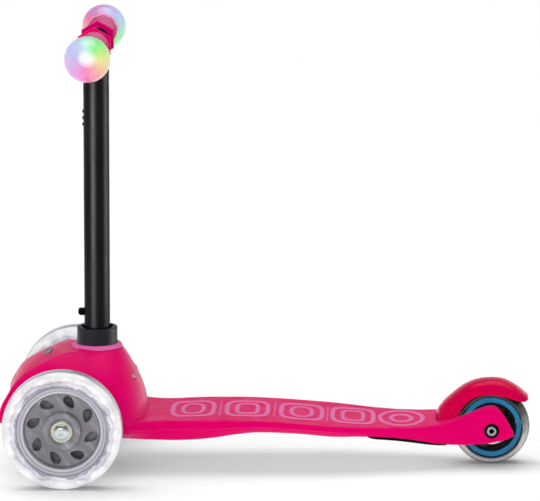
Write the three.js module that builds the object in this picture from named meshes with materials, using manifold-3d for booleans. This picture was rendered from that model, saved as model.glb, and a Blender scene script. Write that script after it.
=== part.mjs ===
// A small child's kick scooter with two light-up front wheels, lean-to-steer front linkage, moulded deck,
// rear wheel with a foot brake, and a T-bar that lifts out of its socket.
//
// Millimetres, +Z up. The scooter rolls towards -X, and the rider's left is -Y. Pieces are drawn about the
// front axle: x = 0 at the axle, y = 0 on the middle plane, z = 0 on the ground. The last lines shift the
// whole scooter along X, so that the origin is on the ground, half-way along it.

import * as THREE from "three";
import { mergeVertices } from "three/addons/utils/BufferGeometryUtils.js";
import Module from "manifold-3d";

const wasm = await Module();
wasm.setup();

// ---------------------------------------------------------------------------------- driving dimensions

const GAP = 0.3;                    // kept between pieces that touch
const SIDES = { left: -1, right: 1 };

const FRONT_WHEEL_R = 60;
const FRONT_TYRE_BORE = 45;
const WHEEL_HALF_WIDTH = 12;
const TRACK = 212;                  // between the front wheels' middle planes
const WHEELBASE = 427;
const REAR_WHEEL_R = 39;
const BAND_OUTER_R = 30.7;          // coloured band inside the rear tyre
const BAND_INNER_R = 25.3;

const AXLE_R = 4;
const BEARING_R = 11;
const BEARING_WIDTH = 7;
const AXLE_BOLT_REACH = 29;         // from the wheel's middle plane into the knuckle
const BEARING_FACE = 11.3;          // outer face of each bearing from the wheel's middle plane

const KINGPIN_Y = 68;
const KINGPIN_R = 4;
const KINGPIN_RAKE = 20;            // degrees that the kingpins lean forward at their tops
const STEERING_ARM = 20;            // from the kingpin forward to the tie rod's pin
const TIE_ROD_LOW = 16.4;           // underside of the tie rod above the axle, along the kingpin

const DECK_TOP = 56;
const FRAME_BOLT_X = -2;
const FRAME_BOLT_Y = 30;
const FRAME_BOLT_R = 3;
const SOCKET_BOLT_X = 27.5;
const SOCKET_BOLT_R = 3.5;
const HOOD_TOP = 123;               // flat crown of the front shell, under the collar ring
const HOOD_FLOOR = 56.3;
const HOOD_WALL = 3;

const STEM_X = 26.9;                // where the stem's axis meets the ground
const COLLAR_X = 28.2;              // middle of the socket's rim, as the stem leans back
const STEM_R = 13;
const STEM_BORE = 11.2;
const STEM_FOOT = 66;
const BAR_X = 31.4;
const BAR_Z = 431.5;
const BAR_R = 11.5;
const BAR_BORE = 9.7;
const BAR_HALF = 96;
const STEM_RAKE = Math.atan2(BAR_X - STEM_X, BAR_Z);
const COLLAR_R = 20.5;
const COLLAR_TOP = 142;
const RING_R = 25;
const BUTTON_Z = 157;
const BUTTON_R = 4;

const GRIP_INNER = 23;
const GRIP_OUTER = 98;
const GRIP_R = 14.5;
const FLANGE_R = 18.7;              // corner radius of the six-sided flange
const BALL_R = 22.5;
const BALL_Y = 116.5;

const FORK_INNER = 18.5;
const FORK_OUTER = 28.5;
const BRAKE_PIVOT = { x: 382, z: 44 };
const BRAKE_PIN_R = 2;
const BRAKE_HALF_WIDTH = 17.5;
const BRAKE_LINING_R = 44.3;        // inside of the fender, about the rear axle

// ---------------------------------------------------------------------------------- materials

function finish(color, roughness, metalness = 0) {
  return new THREE.MeshStandardMaterial({ color, roughness, metalness });
}

const FINISH = {
  magenta: () => finish(0xe6006e, 0.42),
  pink: () => finish(0xf07abb, 0.5),
  gripPink: () => finish(0xe47aa6, 0.75),
  black: () => finish(0x1b1a1e, 0.5),
  blackTube: () => finish(0x1a191c, 0.35, 0.2),
  clearTyre: () => finish(0xe6e8ea, 0.2),
  smoke: () => finish(0x918c93, 0.2),
  blue: () => finish(0x1e86b8, 0.3),
  steel: () => finish(0xb8c4c8, 0.3, 0.9),
  darkSteel: () => finish(0x4a4a50, 0.35, 0.9),
  light: () => finish(0xf6efff, 0.3),
  rubber: () => finish(0x202022, 0.85),
};

// ---------------------------------------------------------------------------------- shape helpers

// Joins shared vertices, drops slivers and turns the faces out.
function closed(source) {
  const bare = source.clone();
  bare.deleteAttribute("normal");
  bare.deleteAttribute("uv");
  const geometry = mergeVertices(bare, 1e-4);
  const at = geometry.attributes.position;
  const index = [...geometry.index.array];
  const kept = [];
  let volume = 0;
  for (let i = 0; i < index.length; i += 3) {
    const [a, b, c] = index.slice(i, i + 3);
    if (a === b || b === c || c === a) continue;
    kept.push(a, b, c);
    const corners = [a, b, c].map((n) => new THREE.Vector3().fromBufferAttribute(at, n));
    volume += corners[0].dot(corners[1].cross(corners[2]));
  }
  geometry.setIndex(volume > 0 ? kept : kept.reverse());
  return geometry;
}

function solid(source) {
  const geometry = closed(source);
  return new wasm.Manifold(new wasm.Mesh({
    numProp: 3,
    vertProperties: new Float32Array(geometry.attributes.position.array),
    triVerts: new Uint32Array(geometry.index.array),
  }));
}

function union(...solids) {
  return solids.reduce((all, next) => all.add(next));
}

function cut(body, ...tools) {
  return tools.reduce((rest, tool) => rest.subtract(tool), body);
}

function geometryOf(manifold) {
  const mesh = manifold.getMesh();
  const geometry = new THREE.BufferGeometry();
  geometry.setAttribute("position", new THREE.BufferAttribute(new Float32Array(mesh.vertProperties), 3));
  geometry.setIndex(new THREE.BufferAttribute(new Uint32Array(mesh.triVerts), 1));
  return geometry;
}

function piece(name, shape, material) {
  const geometry = shape.isBufferGeometry ? closed(shape) : geometryOf(shape);
  const mesh = new THREE.Mesh(geometry, material());
  mesh.name = name;
  return mesh;
}

function polygon(points) {
  return new THREE.Shape(points.map(([a, b]) => new THREE.Vector2(a, b)));
}

// Sorts the two ends of a stretch of Y that lies on one side of the middle plane.
function span(side, inner, outer) {
  return [inner * side, outer * side].sort((a, b) => a - b);
}

function onBothSides(make) {
  return Object.values(SIDES).map(make);
}

// Side outline (x, z), extruded between two values of y.
function sideways(points, yLow, yHigh) {
  const body = new THREE.ExtrudeGeometry(polygon(points), { depth: yHigh - yLow, bevelEnabled: false });
  return body.rotateX(Math.PI / 2).translate(0, yHigh, 0);
}

// Front outline (y, z), extruded between two values of x.
function lengthways(points, xLow, xHigh) {
  const body = new THREE.ExtrudeGeometry(polygon(points), { depth: xHigh - xLow, bevelEnabled: false });
  const turn = new THREE.Matrix4().makeBasis(
    new THREE.Vector3(0, 1, 0), new THREE.Vector3(0, 0, 1), new THREE.Vector3(1, 0, 0));
  return body.applyMatrix4(turn).translate(xLow, 0, 0);
}

// Plan outline (x, y), extruded between two heights.
function upright(points, zLow, zHigh) {
  const body = new THREE.ExtrudeGeometry(polygon(points), { depth: zHigh - zLow, bevelEnabled: false });
  return body.translate(0, 0, zLow);
}

function box(xLow, xHigh, yLow, yHigh, zLow, zHigh) {
  const body = new THREE.BoxGeometry(xHigh - xLow, yHigh - yLow, zHigh - zLow);
  return body.translate((xLow + xHigh) / 2, (yLow + yHigh) / 2, (zLow + zHigh) / 2);
}

// Turned shape about Y from (radius, y) points. A ring's points close on themselves.
function turned(points, segments) {
  const profile = points.map(([r, y]) => new THREE.Vector2(r, y));
  return new THREE.LatheGeometry(profile, segments, Math.PI / segments);
}

function ring(inner, outer, low, high, segments = 16) {
  return turned([[inner, low], [outer, low], [outer, high], [inner, high], [inner, low]], segments);
}

function disc(radius, low, high, segments = 20) {
  return turned([[0, low], [radius, low], [radius, high], [0, high]], segments);
}

// Turned shape about Z from (radius, z) points.
function turnedUp(points, segments) {
  return turned(points, segments).rotateX(Math.PI / 2);
}

function discUp(radius, low, high, segments = 20) {
  return disc(radius, low, high, segments).rotateX(Math.PI / 2);
}

// Radius whose facets, not its corners, touch a circle.
function overFacets(radius, segments) {
  return radius / Math.cos(Math.PI / segments);
}

// Mirrors the points of a half plan, listed front to back on the +Y side.
function wholePlan(half) {
  return [...half, ...half.map(([x, y]) => [x, -y]).reverse()];
}

// Moves each corner of a polygon, listed anticlockwise, inwards by a wall thickness.
function inset(points, wall) {
  const count = points.length;
  return points.map((point, i) => {
    const here = new THREE.Vector2(...point);
    const into = here.clone().sub(new THREE.Vector2(...points[(i + count - 1) % count])).normalize();
    const out = new THREE.Vector2(...points[(i + 1) % count]).sub(here).normalize();
    const mitre = new THREE.Vector2(-into.y - out.y, into.x + out.x).normalize();
    const reach = wall / Math.max(0.4, mitre.dot(new THREE.Vector2(-into.y, into.x)));
    return [point[0] + mitre.x * reach, point[1] + mitre.y * reach];
  });
}

// A coil of round wire about Y.
class CoilCurve extends THREE.Curve {
  constructor(radius, length, turns) {
    super();
    Object.assign(this, { radius, length, turns });
  }

  getPoint(t, target = new THREE.Vector3()) {
    const angle = 2 * Math.PI * this.turns * t;
    return target.set(this.radius * Math.cos(angle), this.length * t, this.radius * Math.sin(angle));
  }
}

function coil(radius, length, turns, wire) {
  const section = polygon([0, 1, 2, 3, 4].map((n) => {
    const angle = (2 * Math.PI * n) / 5;
    return [wire * Math.cos(angle), wire * Math.sin(angle)];
  }));
  const path = new CoilCurve(radius, length, turns);
  return new THREE.ExtrudeGeometry(section, { steps: turns * 6, extrudePath: path, bevelEnabled: false });
}

// ---------------------------------------------------------------------------------- deck

const BELLY = [[-48, 47], [-30, 39], [0, 36], [57, 36], [77, 34], [112, 33.5], [134, 37], [149, 41],
  [169, 43.5], [188, 46], [235, 44], [255, 40.5], [268, 39], [300, 38.5], [330, 35], [350, 32.5], [386, 26]];
const DECK_CROWN = [[386, 45.5], [330, 45.5], [300, 47.5], [266, 50], [232, 52.7], [200, 55], [172, DECK_TOP],
  [14, DECK_TOP], [14, 44], [-34, 44], [-44, 47.5]];
const DECK_HALF_PLAN = [[-48, 40], [-40, 48], [57, 48], [57, 66], [70, 64], [85, 58.5], [100, 55.5],
  [120, 54], [270, 54.5], [295, 49], [312, 44], [330, 42.5], [350, 41], [368, 36.5], [386, 31]];
const FORK_ARM = [[355, 29.5], [375, 26], [395, 24.5], [415, 25], [436, 28], [448, 31.5], [449, 34],
  [442.5, 49], [438, 56], [432, 63], [422, 63], [415, 60.8], [405, 56.6], [390, 50.8], [380, 48.2], [365, 46],
  [355, 45.5]];

function deck() {
  const slab = solid(sideways([...BELLY, ...DECK_CROWN], -70, 70))
    .intersect(solid(upright(wholePlan(DECK_HALF_PLAN), 0, 100)));
  const arms = onBothSides((side) => solid(sideways(FORK_ARM, ...span(side, FORK_INNER, FORK_OUTER))));
  const bosses = onBothSides((side) => solid(
    disc(8, ...span(side, BEARING_FACE + GAP, FORK_INNER + 1)).translate(WHEELBASE, 0, REAR_WHEEL_R)));
  const recesses = onBothSides((side) => solid(
    disc(7.7, ...span(side, FORK_OUTER - 3, FORK_OUTER + 2)).translate(WHEELBASE, 0, REAR_WHEEL_R)));
  const frameBolts = onBothSides((side) => union(
    solid(discUp(FRAME_BOLT_R + GAP, 30, 60, 12).translate(FRAME_BOLT_X, side * FRAME_BOLT_Y, 0)),
    solid(discUp(6.5, 30, 39.5, 16).translate(FRAME_BOLT_X, side * FRAME_BOLT_Y, 0))));
  const wheelWell = disc(REAR_WHEEL_R + 4, -FORK_INNER, FORK_INNER, 40).translate(WHEELBASE, 0, REAR_WHEEL_R);
  const cleared = cut(slab, solid(wheelWell), solid(box(370.6, 400, -FORK_INNER, FORK_INNER, 34, 60)));
  return cut(
    union(cleared, ...arms, ...bosses),
    ...recesses,
    ...frameBolts,
    solid(disc(AXLE_R + GAP, -40, 40).translate(WHEELBASE, 0, REAR_WHEEL_R)),
    solid(disc(BRAKE_PIN_R + GAP, -24.5, 40, 12).translate(BRAKE_PIVOT.x, 0, BRAKE_PIVOT.z)),
    solid(discUp(SOCKET_BOLT_R + GAP, 30, 60, 16).translate(SOCKET_BOLT_X, 0, 0)),
    solid(discUp(8, 30, 42, 16).translate(SOCKET_BOLT_X, 0, 0)));
}

// Thin cover that follows the belly under the deck's tail and thins out under the fork's arms.
function undersidePlate() {
  const top = [[302, 38.3], [330, 35], [350, 32.5], [355, 29.5], [375, 26], [381, 25.4]].map(([x, z]) => [x, z - GAP]);
  const bottom = [[302, 37.2], [306, 35.5], [330, 32.6], [350, 29.2], [368, 25.6], [381, 24.3]].reverse();
  const halfPlan = [[302, 42], [330, 41.5], [350, 40], [368, 35.5], [381, 31.5], [381, FORK_INNER + GAP],
    [368, FORK_INNER + GAP]];
  return solid(sideways([...top, ...bottom], -45, 45)).intersect(solid(upright(wholePlan(halfPlan), 0, 60)));
}

// ---------------------------------------------------------------------------------- front shell

const HOOD_SIDE = [[80, HOOD_FLOOR], [79, 64], [77, 71], [75, 79], [73, 86], [70, 94], [65, 104], [60, 112],
  [56, 118], [53, HOOD_TOP], [3, HOOD_TOP], [-6, 122.5], [-16, 120.5], [-26, 117], [-35, 112], [-44, 106],
  [-50, 100], [-55, 93], [-59, 87], [-61.5, 81], [-63, 74], [-62.5, 67], [-58, 62], [-44, HOOD_FLOOR]];
const HOOD_HALF_FRONT = [[27, 123.5], [33, 121], [41, 116], [50, 109], [58, 101], [65, 92], [70, 82],
  [73, 72], [74, 62], [74, HOOD_FLOOR]];
const HOOD_HALF_PLAN = [[-63.5, 50], [-61, 62], [-56, 70], [-48, 74], [30, 74], [50, 70.5], [62, 63],
  [71, 50], [77, 34], [80.5, 15]];
const HOOD_SCREW = { x: 69.8, y: 20, z: 94.4 };
const HOOD_SCREW_TILT = Math.PI * 0.367;
const HOOD_ARCH_R = 33;             // side opening around each knuckle

function hoodBlock(wall, drop) {
  const front = [...HOOD_HALF_FRONT.map(([y, z]) => [-y, z]), ...[...HOOD_HALF_FRONT].reverse()];
  const plan = wholePlan(HOOD_HALF_PLAN).reverse();
  const side = solid(sideways(inset(HOOD_SIDE, wall), -80, 80).translate(0, 0, -drop));
  return side
    .intersect(solid(lengthways(inset(front, wall), -70, 90).translate(0, 0, -drop)))
    .intersect(solid(upright(inset(plan, wall), 30, 140)));
}

function frontShell() {
  const arches = onBothSides((side) => solid(
    disc(HOOD_ARCH_R, ...span(side, 60, 80), 24).translate(-4, 0, FRONT_WHEEL_R - 3)));
  return cut(
    hoodBlock(0, 0),
    hoodBlock(HOOD_WALL, 0),
    hoodBlock(HOOD_WALL, HOOD_WALL + 4),
    ...arches,
    ...onBothSides((side) => hoodScrewBar(2, -12, 4, side)),
    solid(discUp(COLLAR_R + 2 * GAP, 90, 140, 24).translate(COLLAR_X, 0, 0)));
}

// A round bar along the axis of a shell screw, which points out of the rear slope.
function hoodScrewBar(radius, low, high, side) {
  return solid(discUp(radius, low, high, 12).rotateY(HOOD_SCREW_TILT)
    .translate(HOOD_SCREW.x, side * HOOD_SCREW.y, HOOD_SCREW.z));
}

function hoodScrew(side) {
  return union(hoodScrewBar(3.4, 0.9, 2.6, side), hoodScrewBar(1.6, -8, 1, side));
}

// A blank oval plate that lies on the front slope.
function frontBadge() {
  const plate = new THREE.CylinderGeometry(1, 1, 1.4, 24);
  plate.rotateX(Math.PI / 2).scale(5.5, 13, 1);
  return plate.rotateY(-Math.atan2(3.5, 10)).translate(-22.4, 0, 119.3);
}

function collarRing() {
  const low = HOOD_TOP + GAP;
  const inner = COLLAR_R + 2 * GAP;
  const profile = [[inner, low], [RING_R, low], [RING_R, low + 1.6], [RING_R - 1.6, low + 3],
    [inner, low + 3.4], [inner, low]];
  return turnedUp(profile, 24).translate(COLLAR_X, 0, 0);
}

// ---------------------------------------------------------------------------------- socket and steering

// Drawn about the leaning stem's axis.
function stemSocket() {
  const bore = STEM_R + GAP;
  const foot = DECK_TOP + 2 * GAP;
  const profile = [[0, foot], [16.5, foot], [16.5, 108], [COLLAR_R, 112],
    [COLLAR_R, COLLAR_TOP - 1], [COLLAR_R - 1, COLLAR_TOP], [15.5, COLLAR_TOP], [15.5, COLLAR_TOP - 8],
    [bore, COLLAR_TOP - 12], [bore, STEM_FOOT - GAP], [0, STEM_FOOT - GAP]];
  return cut(solid(turnedUp(profile, 24)), solid(discUp(SOCKET_BOLT_R + GAP, 50, 63, 16)));
}

function socketBolt() {
  return union(
    solid(discUp(6.5, 38, 41.7, 16)),
    solid(discUp(SOCKET_BOLT_R, 41, 62, 16))).subtract(solid(discUp(2.6, 30, 40, 6)));
}

function frameBolt() {
  return union(solid(discUp(5.5, 36.5, 39.2, 16)), solid(discUp(FRAME_BOLT_R, 39, 54, 12)));
}

// Everything below is drawn about the axle, with Z along the kingpins, unless it says otherwise.

const ROD_TOP = TIE_ROD_LOW + 5;
const SPRING_Z = ROD_TOP + 5.6;
const SPRING_R = 4;
const WIRE_R = 0.8;
const SPRING_SEAT = 42;             // inner face of each spring bracket

// A shape drawn in the scooter's own axes, turned into the raked ones.
function intoRake(geometry) {
  return geometry.translate(0, 0, -FRONT_WHEEL_R).rotateY(THREE.MathUtils.degToRad(KINGPIN_RAKE));
}

function steeringFrame() {
  const beam = solid(box(-9, 5, -KINGPIN_Y + 4, KINGPIN_Y - 4, -8, 8));
  const parts = onBothSides((side) => union(
    solid(discUp(8.5, -10.5, 10.5).translate(0, side * KINGPIN_Y, 0)),
    solid(box(-26, -5, ...span(side, SPRING_SEAT, SPRING_SEAT + 4), -2, SPRING_Z + 6)),
    solid(intoRake(box(-9, 5, ...span(side, FRAME_BOLT_Y - 10, FRAME_BOLT_Y + 10), 44 + 2 * GAP, 58)))));
  const holes = onBothSides((side) => union(
    solid(discUp(KINGPIN_R + GAP, -20, 20, 16).translate(0, side * KINGPIN_Y, 0)),
    solid(box(-24.8, -15.2, ...span(side, 40, 50), TIE_ROD_LOW - 0.8, ROD_TOP + 0.8)),
    solid(intoRake(discUp(FRAME_BOLT_R + GAP, 40, 55, 12).translate(FRAME_BOLT_X, side * FRAME_BOLT_Y, 0)))));
  return cut(union(beam, ...parts), ...holes);
}

function steeringSpring(side) {
  const from = 3.5 + GAP + WIRE_R;
  const wire = coil(SPRING_R, SPRING_SEAT - GAP - WIRE_R - from, 7, WIRE_R);
  if (side < 0) wire.rotateZ(Math.PI);
  return wire.translate(-STEERING_ARM, side * from, SPRING_Z);
}

function tieRod() {
  const reach = KINGPIN_Y + 5;
  const bar = solid(box(-STEERING_ARM - 4, -STEERING_ARM + 4, -reach, reach, TIE_ROD_LOW, ROD_TOP));
  const tab = solid(box(-STEERING_ARM - 2, -STEERING_ARM + 2, -3.5, 3.5, ROD_TOP - 1, SPRING_Z + 5));
  const eyes = onBothSides((side) => solid(
    discUp(3.3, 0, 40, 16).translate(-STEERING_ARM, side * KINGPIN_Y, 0)));
  return cut(union(bar, tab), ...eyes);
}

function tieRodPin() {
  return union(solid(discUp(2.5, 11, ROD_TOP + 1, 14)), solid(discUp(4.5, ROD_TOP + GAP, ROD_TOP + 2, 14)));
}

function kingpin() {
  return union(solid(discUp(KINGPIN_R, -16, 17, 16)), solid(discUp(6.5, 16 + GAP, 19, 6)));
}

function knuckle(side) {
  const lugs = [[10.8, 16], [-16, -10.8]].map(([low, high]) => union(
    solid(discUp(9, low, high).translate(0, side * KINGPIN_Y, 0)),
    solid(box(-9, 9, ...span(side, KINGPIN_Y, 80), low, high))));
  const web = solid(box(-9, 9, ...span(side, 78, 84), -16, 16));
  const arm = solid(box(-STEERING_ARM - 4, 0, ...span(side, KINGPIN_Y - 5, KINGPIN_Y + 5), 10.8, 16));
  const stub = solid(disc(9, ...span(side, 80, TRACK / 2 - BEARING_FACE - GAP)));
  return cut(
    union(...lugs, web, arm, stub),
    solid(disc(AXLE_R + GAP, ...span(side, 76, 100), 16)),
    solid(discUp(KINGPIN_R + GAP, -20, 20, 16).translate(0, side * KINGPIN_Y, 0)),
    solid(discUp(2.8, 0, 20, 14).translate(-STEERING_ARM, side * KINGPIN_Y, 0)));
}

// ---------------------------------------------------------------------------------- wheels

// Each front wheel is drawn about its own centre, with +Y towards the outside.
const FRONT_SEGMENTS = 48;
const REAR_SEGMENTS = 40;
const HUB_SEGMENTS = 24;

// Rounded tread from the side walls out to the rolling radius.
function tyreProfile(bore, radius, halfWidth, segments) {
  const tread = overFacets(radius, segments);
  const half = [[bore, halfWidth], [radius - 8, halfWidth], [radius - 3.5, halfWidth - 1.7],
    [radius - 1, halfWidth - 4.5], [tread, halfWidth - 8]];
  const lower = half.map(([r, y]) => [r, -y]);
  return [...lower, ...[...half].reverse(), lower[0]];
}

function hubProfile(rimOuter, rimInner, rimHalf, boss, web) {
  const seat = BEARING_R + GAP;
  const half = [[boss, web], [boss, BEARING_FACE + 0.2], [seat, BEARING_FACE + 0.2],
    [seat, BEARING_FACE - BEARING_WIDTH - GAP], [8, BEARING_FACE - BEARING_WIDTH - GAP]];
  const outside = [[rimOuter, -rimHalf], [rimOuter, rimHalf], [rimInner, rimHalf], [rimInner, web]];
  const inside = [...half].reverse().map(([r, y]) => [r, -y]);
  return [...outside, ...half, ...inside, [rimInner, -web], [rimInner, -rimHalf], outside[0]];
}

function frontCore() {
  const hub = solid(turned(hubProfile(FRONT_TYRE_BORE - GAP, 38.5, 10.5, 19, 3), HUB_SEGMENTS));
  const pockets = Array.from({ length: 8 }, (_, i) => {
    const pocket = new THREE.CylinderGeometry(1, 1, 12, 12).scale(7, 1, 4.4);
    pocket.rotateY(Math.PI / 4).translate(29.5, 0, 0);
    return solid(pocket.rotateY((i + 0.45) * (Math.PI / 4)));
  });
  return cut(hub, ...pockets);
}

function rearCore() {
  const hub = solid(turned(hubProfile(BAND_INNER_R - GAP, 22, 9, 14, 3), HUB_SEGMENTS));
  const windows = Array.from({ length: 5 }, (_, i) => {
    const middle = (i * 2 * Math.PI) / 5;
    const arc = [-0.42, -0.2, 0, 0.2, 0.42].map((turn) => middle + turn);
    const outer = arc.map((angle) => [21 * Math.cos(angle), 21 * Math.sin(angle)]);
    const inner = arc.map((angle) => [15.2 * Math.cos(angle), 15.2 * Math.sin(angle)]).reverse();
    return solid(sideways([...outer, ...inner], -6, 6));
  });
  return cut(hub, ...windows);
}

function frontAxleBolt() {
  return turned([[0, -AXLE_BOLT_REACH], [AXLE_R, -AXLE_BOLT_REACH], [AXLE_R, 12.9], [8.5, 12.9], [8.5, 14.2], [7, 16], [3.5, 17],
    [0, 17.2]], 20);
}

function bearing(side) {
  return ring(AXLE_R + GAP, BEARING_R, ...span(side, BEARING_FACE - BEARING_WIDTH, BEARING_FACE));
}

function bearingSpacer() {
  return ring(AXLE_R + GAP, 6.5, -BEARING_FACE + BEARING_WIDTH + GAP, BEARING_FACE - BEARING_WIDTH - GAP, 16);
}

// A wheel's own pieces, then those that stay still on its axle.
function frontWheel(sideName, side) {
  const group = new THREE.Group();
  group.position.set(0, (side * TRACK) / 2, FRONT_WHEEL_R);
  if (side < 0) group.rotation.z = Math.PI;
  const profile = tyreProfile(FRONT_TYRE_BORE, FRONT_WHEEL_R, WHEEL_HALF_WIDTH, FRONT_SEGMENTS);
  group.add(
    piece(`front_tyre_${sideName}`, turned(profile, FRONT_SEGMENTS), FINISH.clearTyre),
    piece(`front_core_${sideName}`, frontCore(), FINISH.smoke),
    piece(`led_ring_${sideName}`, ring(35, 38, -10, -3 - GAP, HUB_SEGMENTS), FINISH.light),
    piece(`outer_bearing_${sideName}`, bearing(1), FINISH.steel),
    piece(`inner_bearing_${sideName}`, bearing(-1), FINISH.steel),
    piece(`magnet_spacer_${sideName}`, bearingSpacer(), FINISH.steel),
    piece(`axle_washer_${sideName}`, ring(AXLE_R + GAP, 8, 11.6, 12.6), FINISH.steel),
    piece(`axle_bolt_${sideName}`, frontAxleBolt(), FINISH.steel));
  return group;
}

function rearWheel() {
  const group = new THREE.Group();
  group.position.set(WHEELBASE, 0, REAR_WHEEL_R);
  const profile = tyreProfile(BAND_OUTER_R + GAP, REAR_WHEEL_R, WHEEL_HALF_WIDTH, REAR_SEGMENTS);
  const seat = FORK_OUTER - 3 + GAP;
  const bolt = [[0, -seat - 3], [6, -seat - 3], [6, -seat], [AXLE_R, -seat], [AXLE_R, seat + 2.6],
    [0, seat + 2.6]];
  const nut = cut(solid(disc(6.3, seat, seat + 3, 6)), solid(disc(AXLE_R + GAP, seat - 1, seat + 4)));
  group.add(
    piece("rear_tyre", turned(profile, REAR_SEGMENTS), FINISH.clearTyre),
    piece("rear_band", ring(BAND_INNER_R, BAND_OUTER_R, -10, 10, HUB_SEGMENTS), FINISH.blue),
    piece("rear_core", rearCore(), FINISH.black),
    piece("rear_bearing_left", bearing(-1), FINISH.steel),
    piece("rear_bearing_right", bearing(1), FINISH.steel),
    piece("rear_spacer", bearingSpacer(), FINISH.steel),
    piece("rear_axle_bolt", turned(bolt, 20), FINISH.darkSteel),
    piece("rear_axle_nut", nut, FINISH.darkSteel));
  return group;
}

// ---------------------------------------------------------------------------------- brake

const FENDER = [[377, 47], [373, 50], [374, 56], [379.5, 63], [388, 71], [396.5, 77.5],
  [404.5, 82], [412, 84.8], [419.5, 86.3], [427, 87], [434, 86.4], [440.5, 85], [449, 81], [456, 76.3], [461, 72],
  [464, 69], [462, 66.5], [456, 67], [446, 70], [436, 72], [425, 73], [415, 72.5], [407, 69],
  [400, 63], [395, 56], [391, 48], [386, 40], [379, 40]];

function brakeFender() {
  const body = solid(sideways(FENDER, -BRAKE_HALF_WIDTH, BRAKE_HALF_WIDTH));
  const channel = solid(disc(BRAKE_LINING_R, -14.5, 14.5, 48).translate(WHEELBASE, 0, REAR_WHEEL_R));
  const springGap = solid(box(370, 392, -7, 7, 30, 50));
  const bosses = onBothSides((side) => solid(
    disc(4.2, ...span(side, 7, BRAKE_HALF_WIDTH), 16).translate(BRAKE_PIVOT.x, 0, BRAKE_PIVOT.z)));
  return cut(
    union(cut(body, channel, springGap), ...bosses),
    solid(disc(BRAKE_PIN_R + GAP, -20, 20, 12).translate(BRAKE_PIVOT.x, 0, BRAKE_PIVOT.z)));
}

// Curved shoe under the fender, a few millimetres clear of the tyre.
function brakePad() {
  const [thin, thick] = [BRAKE_LINING_R - 2.4, BRAKE_LINING_R - GAP];
  const turns = [55, 65, 75, 85, 95, 105].map(THREE.MathUtils.degToRad);
  const outer = turns.map((angle) => [WHEELBASE + thick * Math.cos(angle), REAR_WHEEL_R + thick * Math.sin(angle)]);
  const inner = turns.map((angle) => [WHEELBASE + thin * Math.cos(angle), REAR_WHEEL_R + thin * Math.sin(angle)]);
  return sideways([...outer, ...inner.reverse()], -11, 11);
}

function brakeSpring() {
  return coil(3.4, 11, 5, 0.7).translate(BRAKE_PIVOT.x, -5.5, BRAKE_PIVOT.z);
}

// ---------------------------------------------------------------------------------- T-bar

// Drawn about the stem's axis, with z = 0 where that axis meets the ground.
const BAR_LEVEL = BAR_Z / Math.cos(STEM_RAKE);

function tBarTube() {
  const stem = solid(discUp(STEM_R, STEM_FOOT, BAR_LEVEL, 24));
  const cross = solid(disc(BAR_R, -BAR_HALF, BAR_HALF, 24).translate(0, 0, BAR_LEVEL));
  return cut(
    union(stem, cross),
    solid(discUp(STEM_BORE, 0, BAR_LEVEL, 24)),
    solid(disc(BAR_BORE, -BAR_HALF - 1, BAR_HALF + 1, 24).translate(0, 0, BAR_LEVEL)),
    solid(disc(BUTTON_R + GAP, 5, 20, 16).rotateZ(Math.PI / 2).translate(0, 0, BUTTON_Z)));
}

function grip(side) {
  const sleeve = turned([[BAR_R, GRIP_INNER], [GRIP_R, GRIP_INNER], [GRIP_R, GRIP_OUTER - 4],
    [GRIP_R + 1, GRIP_OUTER - 3], [GRIP_R + 1, GRIP_OUTER], [BAR_R, GRIP_OUTER], [BAR_R, GRIP_INNER]], 24);
  const flange = new THREE.CylinderGeometry(FLANGE_R, FLANGE_R, 3, 6).translate(0, GRIP_INNER + 1.5, 0);
  const whole = cut(
    union(solid(sleeve), solid(flange)),
    solid(disc(BAR_R + GAP, 0, 120, 24)));
  return geometryOf(whole).rotateZ(side < 0 ? Math.PI : 0);
}

// A hollow ball, open where it meets the end of the grip.
function endBall(side) {
  const mouth = BALL_Y - GRIP_OUTER - GAP;
  const wall = 2;
  const arc = (radius, steps) => {
    const last = Math.acos(-mouth / radius);
    return Array.from({ length: steps + 1 }, (_, i) => {
      const angle = (last * i) / steps;
      return [radius * Math.sin(angle), radius * Math.cos(angle)];
    });
  };
  const profile = [...arc(BALL_R, 9), ...arc(BALL_R - wall, 5).reverse()];
  profile[0][0] = 0;
  profile[profile.length - 1][0] = 0;
  return turned(profile, 16).translate(0, BALL_Y, 0).rotateZ(side < 0 ? Math.PI : 0);
}

function lightModule(side) {
  return disc(9, ...span(side, 78, 112));
}

function releaseButton() {
  const profile = [[0, 8], [5.6, 8], [5.6, 9.2], [BUTTON_R, 9.2], [BUTTON_R, 17], [3, 18.8], [0, 19.5]];
  return turned(profile, 16).rotateZ(Math.PI / 2);
}

// A leaf spring bent into a U behind the button.
function buttonClip() {
  const [front, back] = [-7.7, 9.4];
  const leaf = 0.8;
  const middle = (front + back) / 2;
  const crown = 26;
  const arch = (radius) => [150, 120, 90, 60, 30].map((turn) => {
    const angle = THREE.MathUtils.degToRad(turn);
    return [middle + radius * Math.cos(angle), crown + radius * Math.sin(angle)];
  });
  const outer = [[front, -7], [front, crown], ...arch((back - front) / 2), [back, crown], [back, -3]];
  const inner = [[front + leaf, -7], [front + leaf, crown], ...arch((back - front) / 2 - leaf),
    [back - leaf, crown], [back - leaf, -3]];
  return sideways([...outer, ...inner.reverse()], -3.5, 3.5);
}

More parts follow.
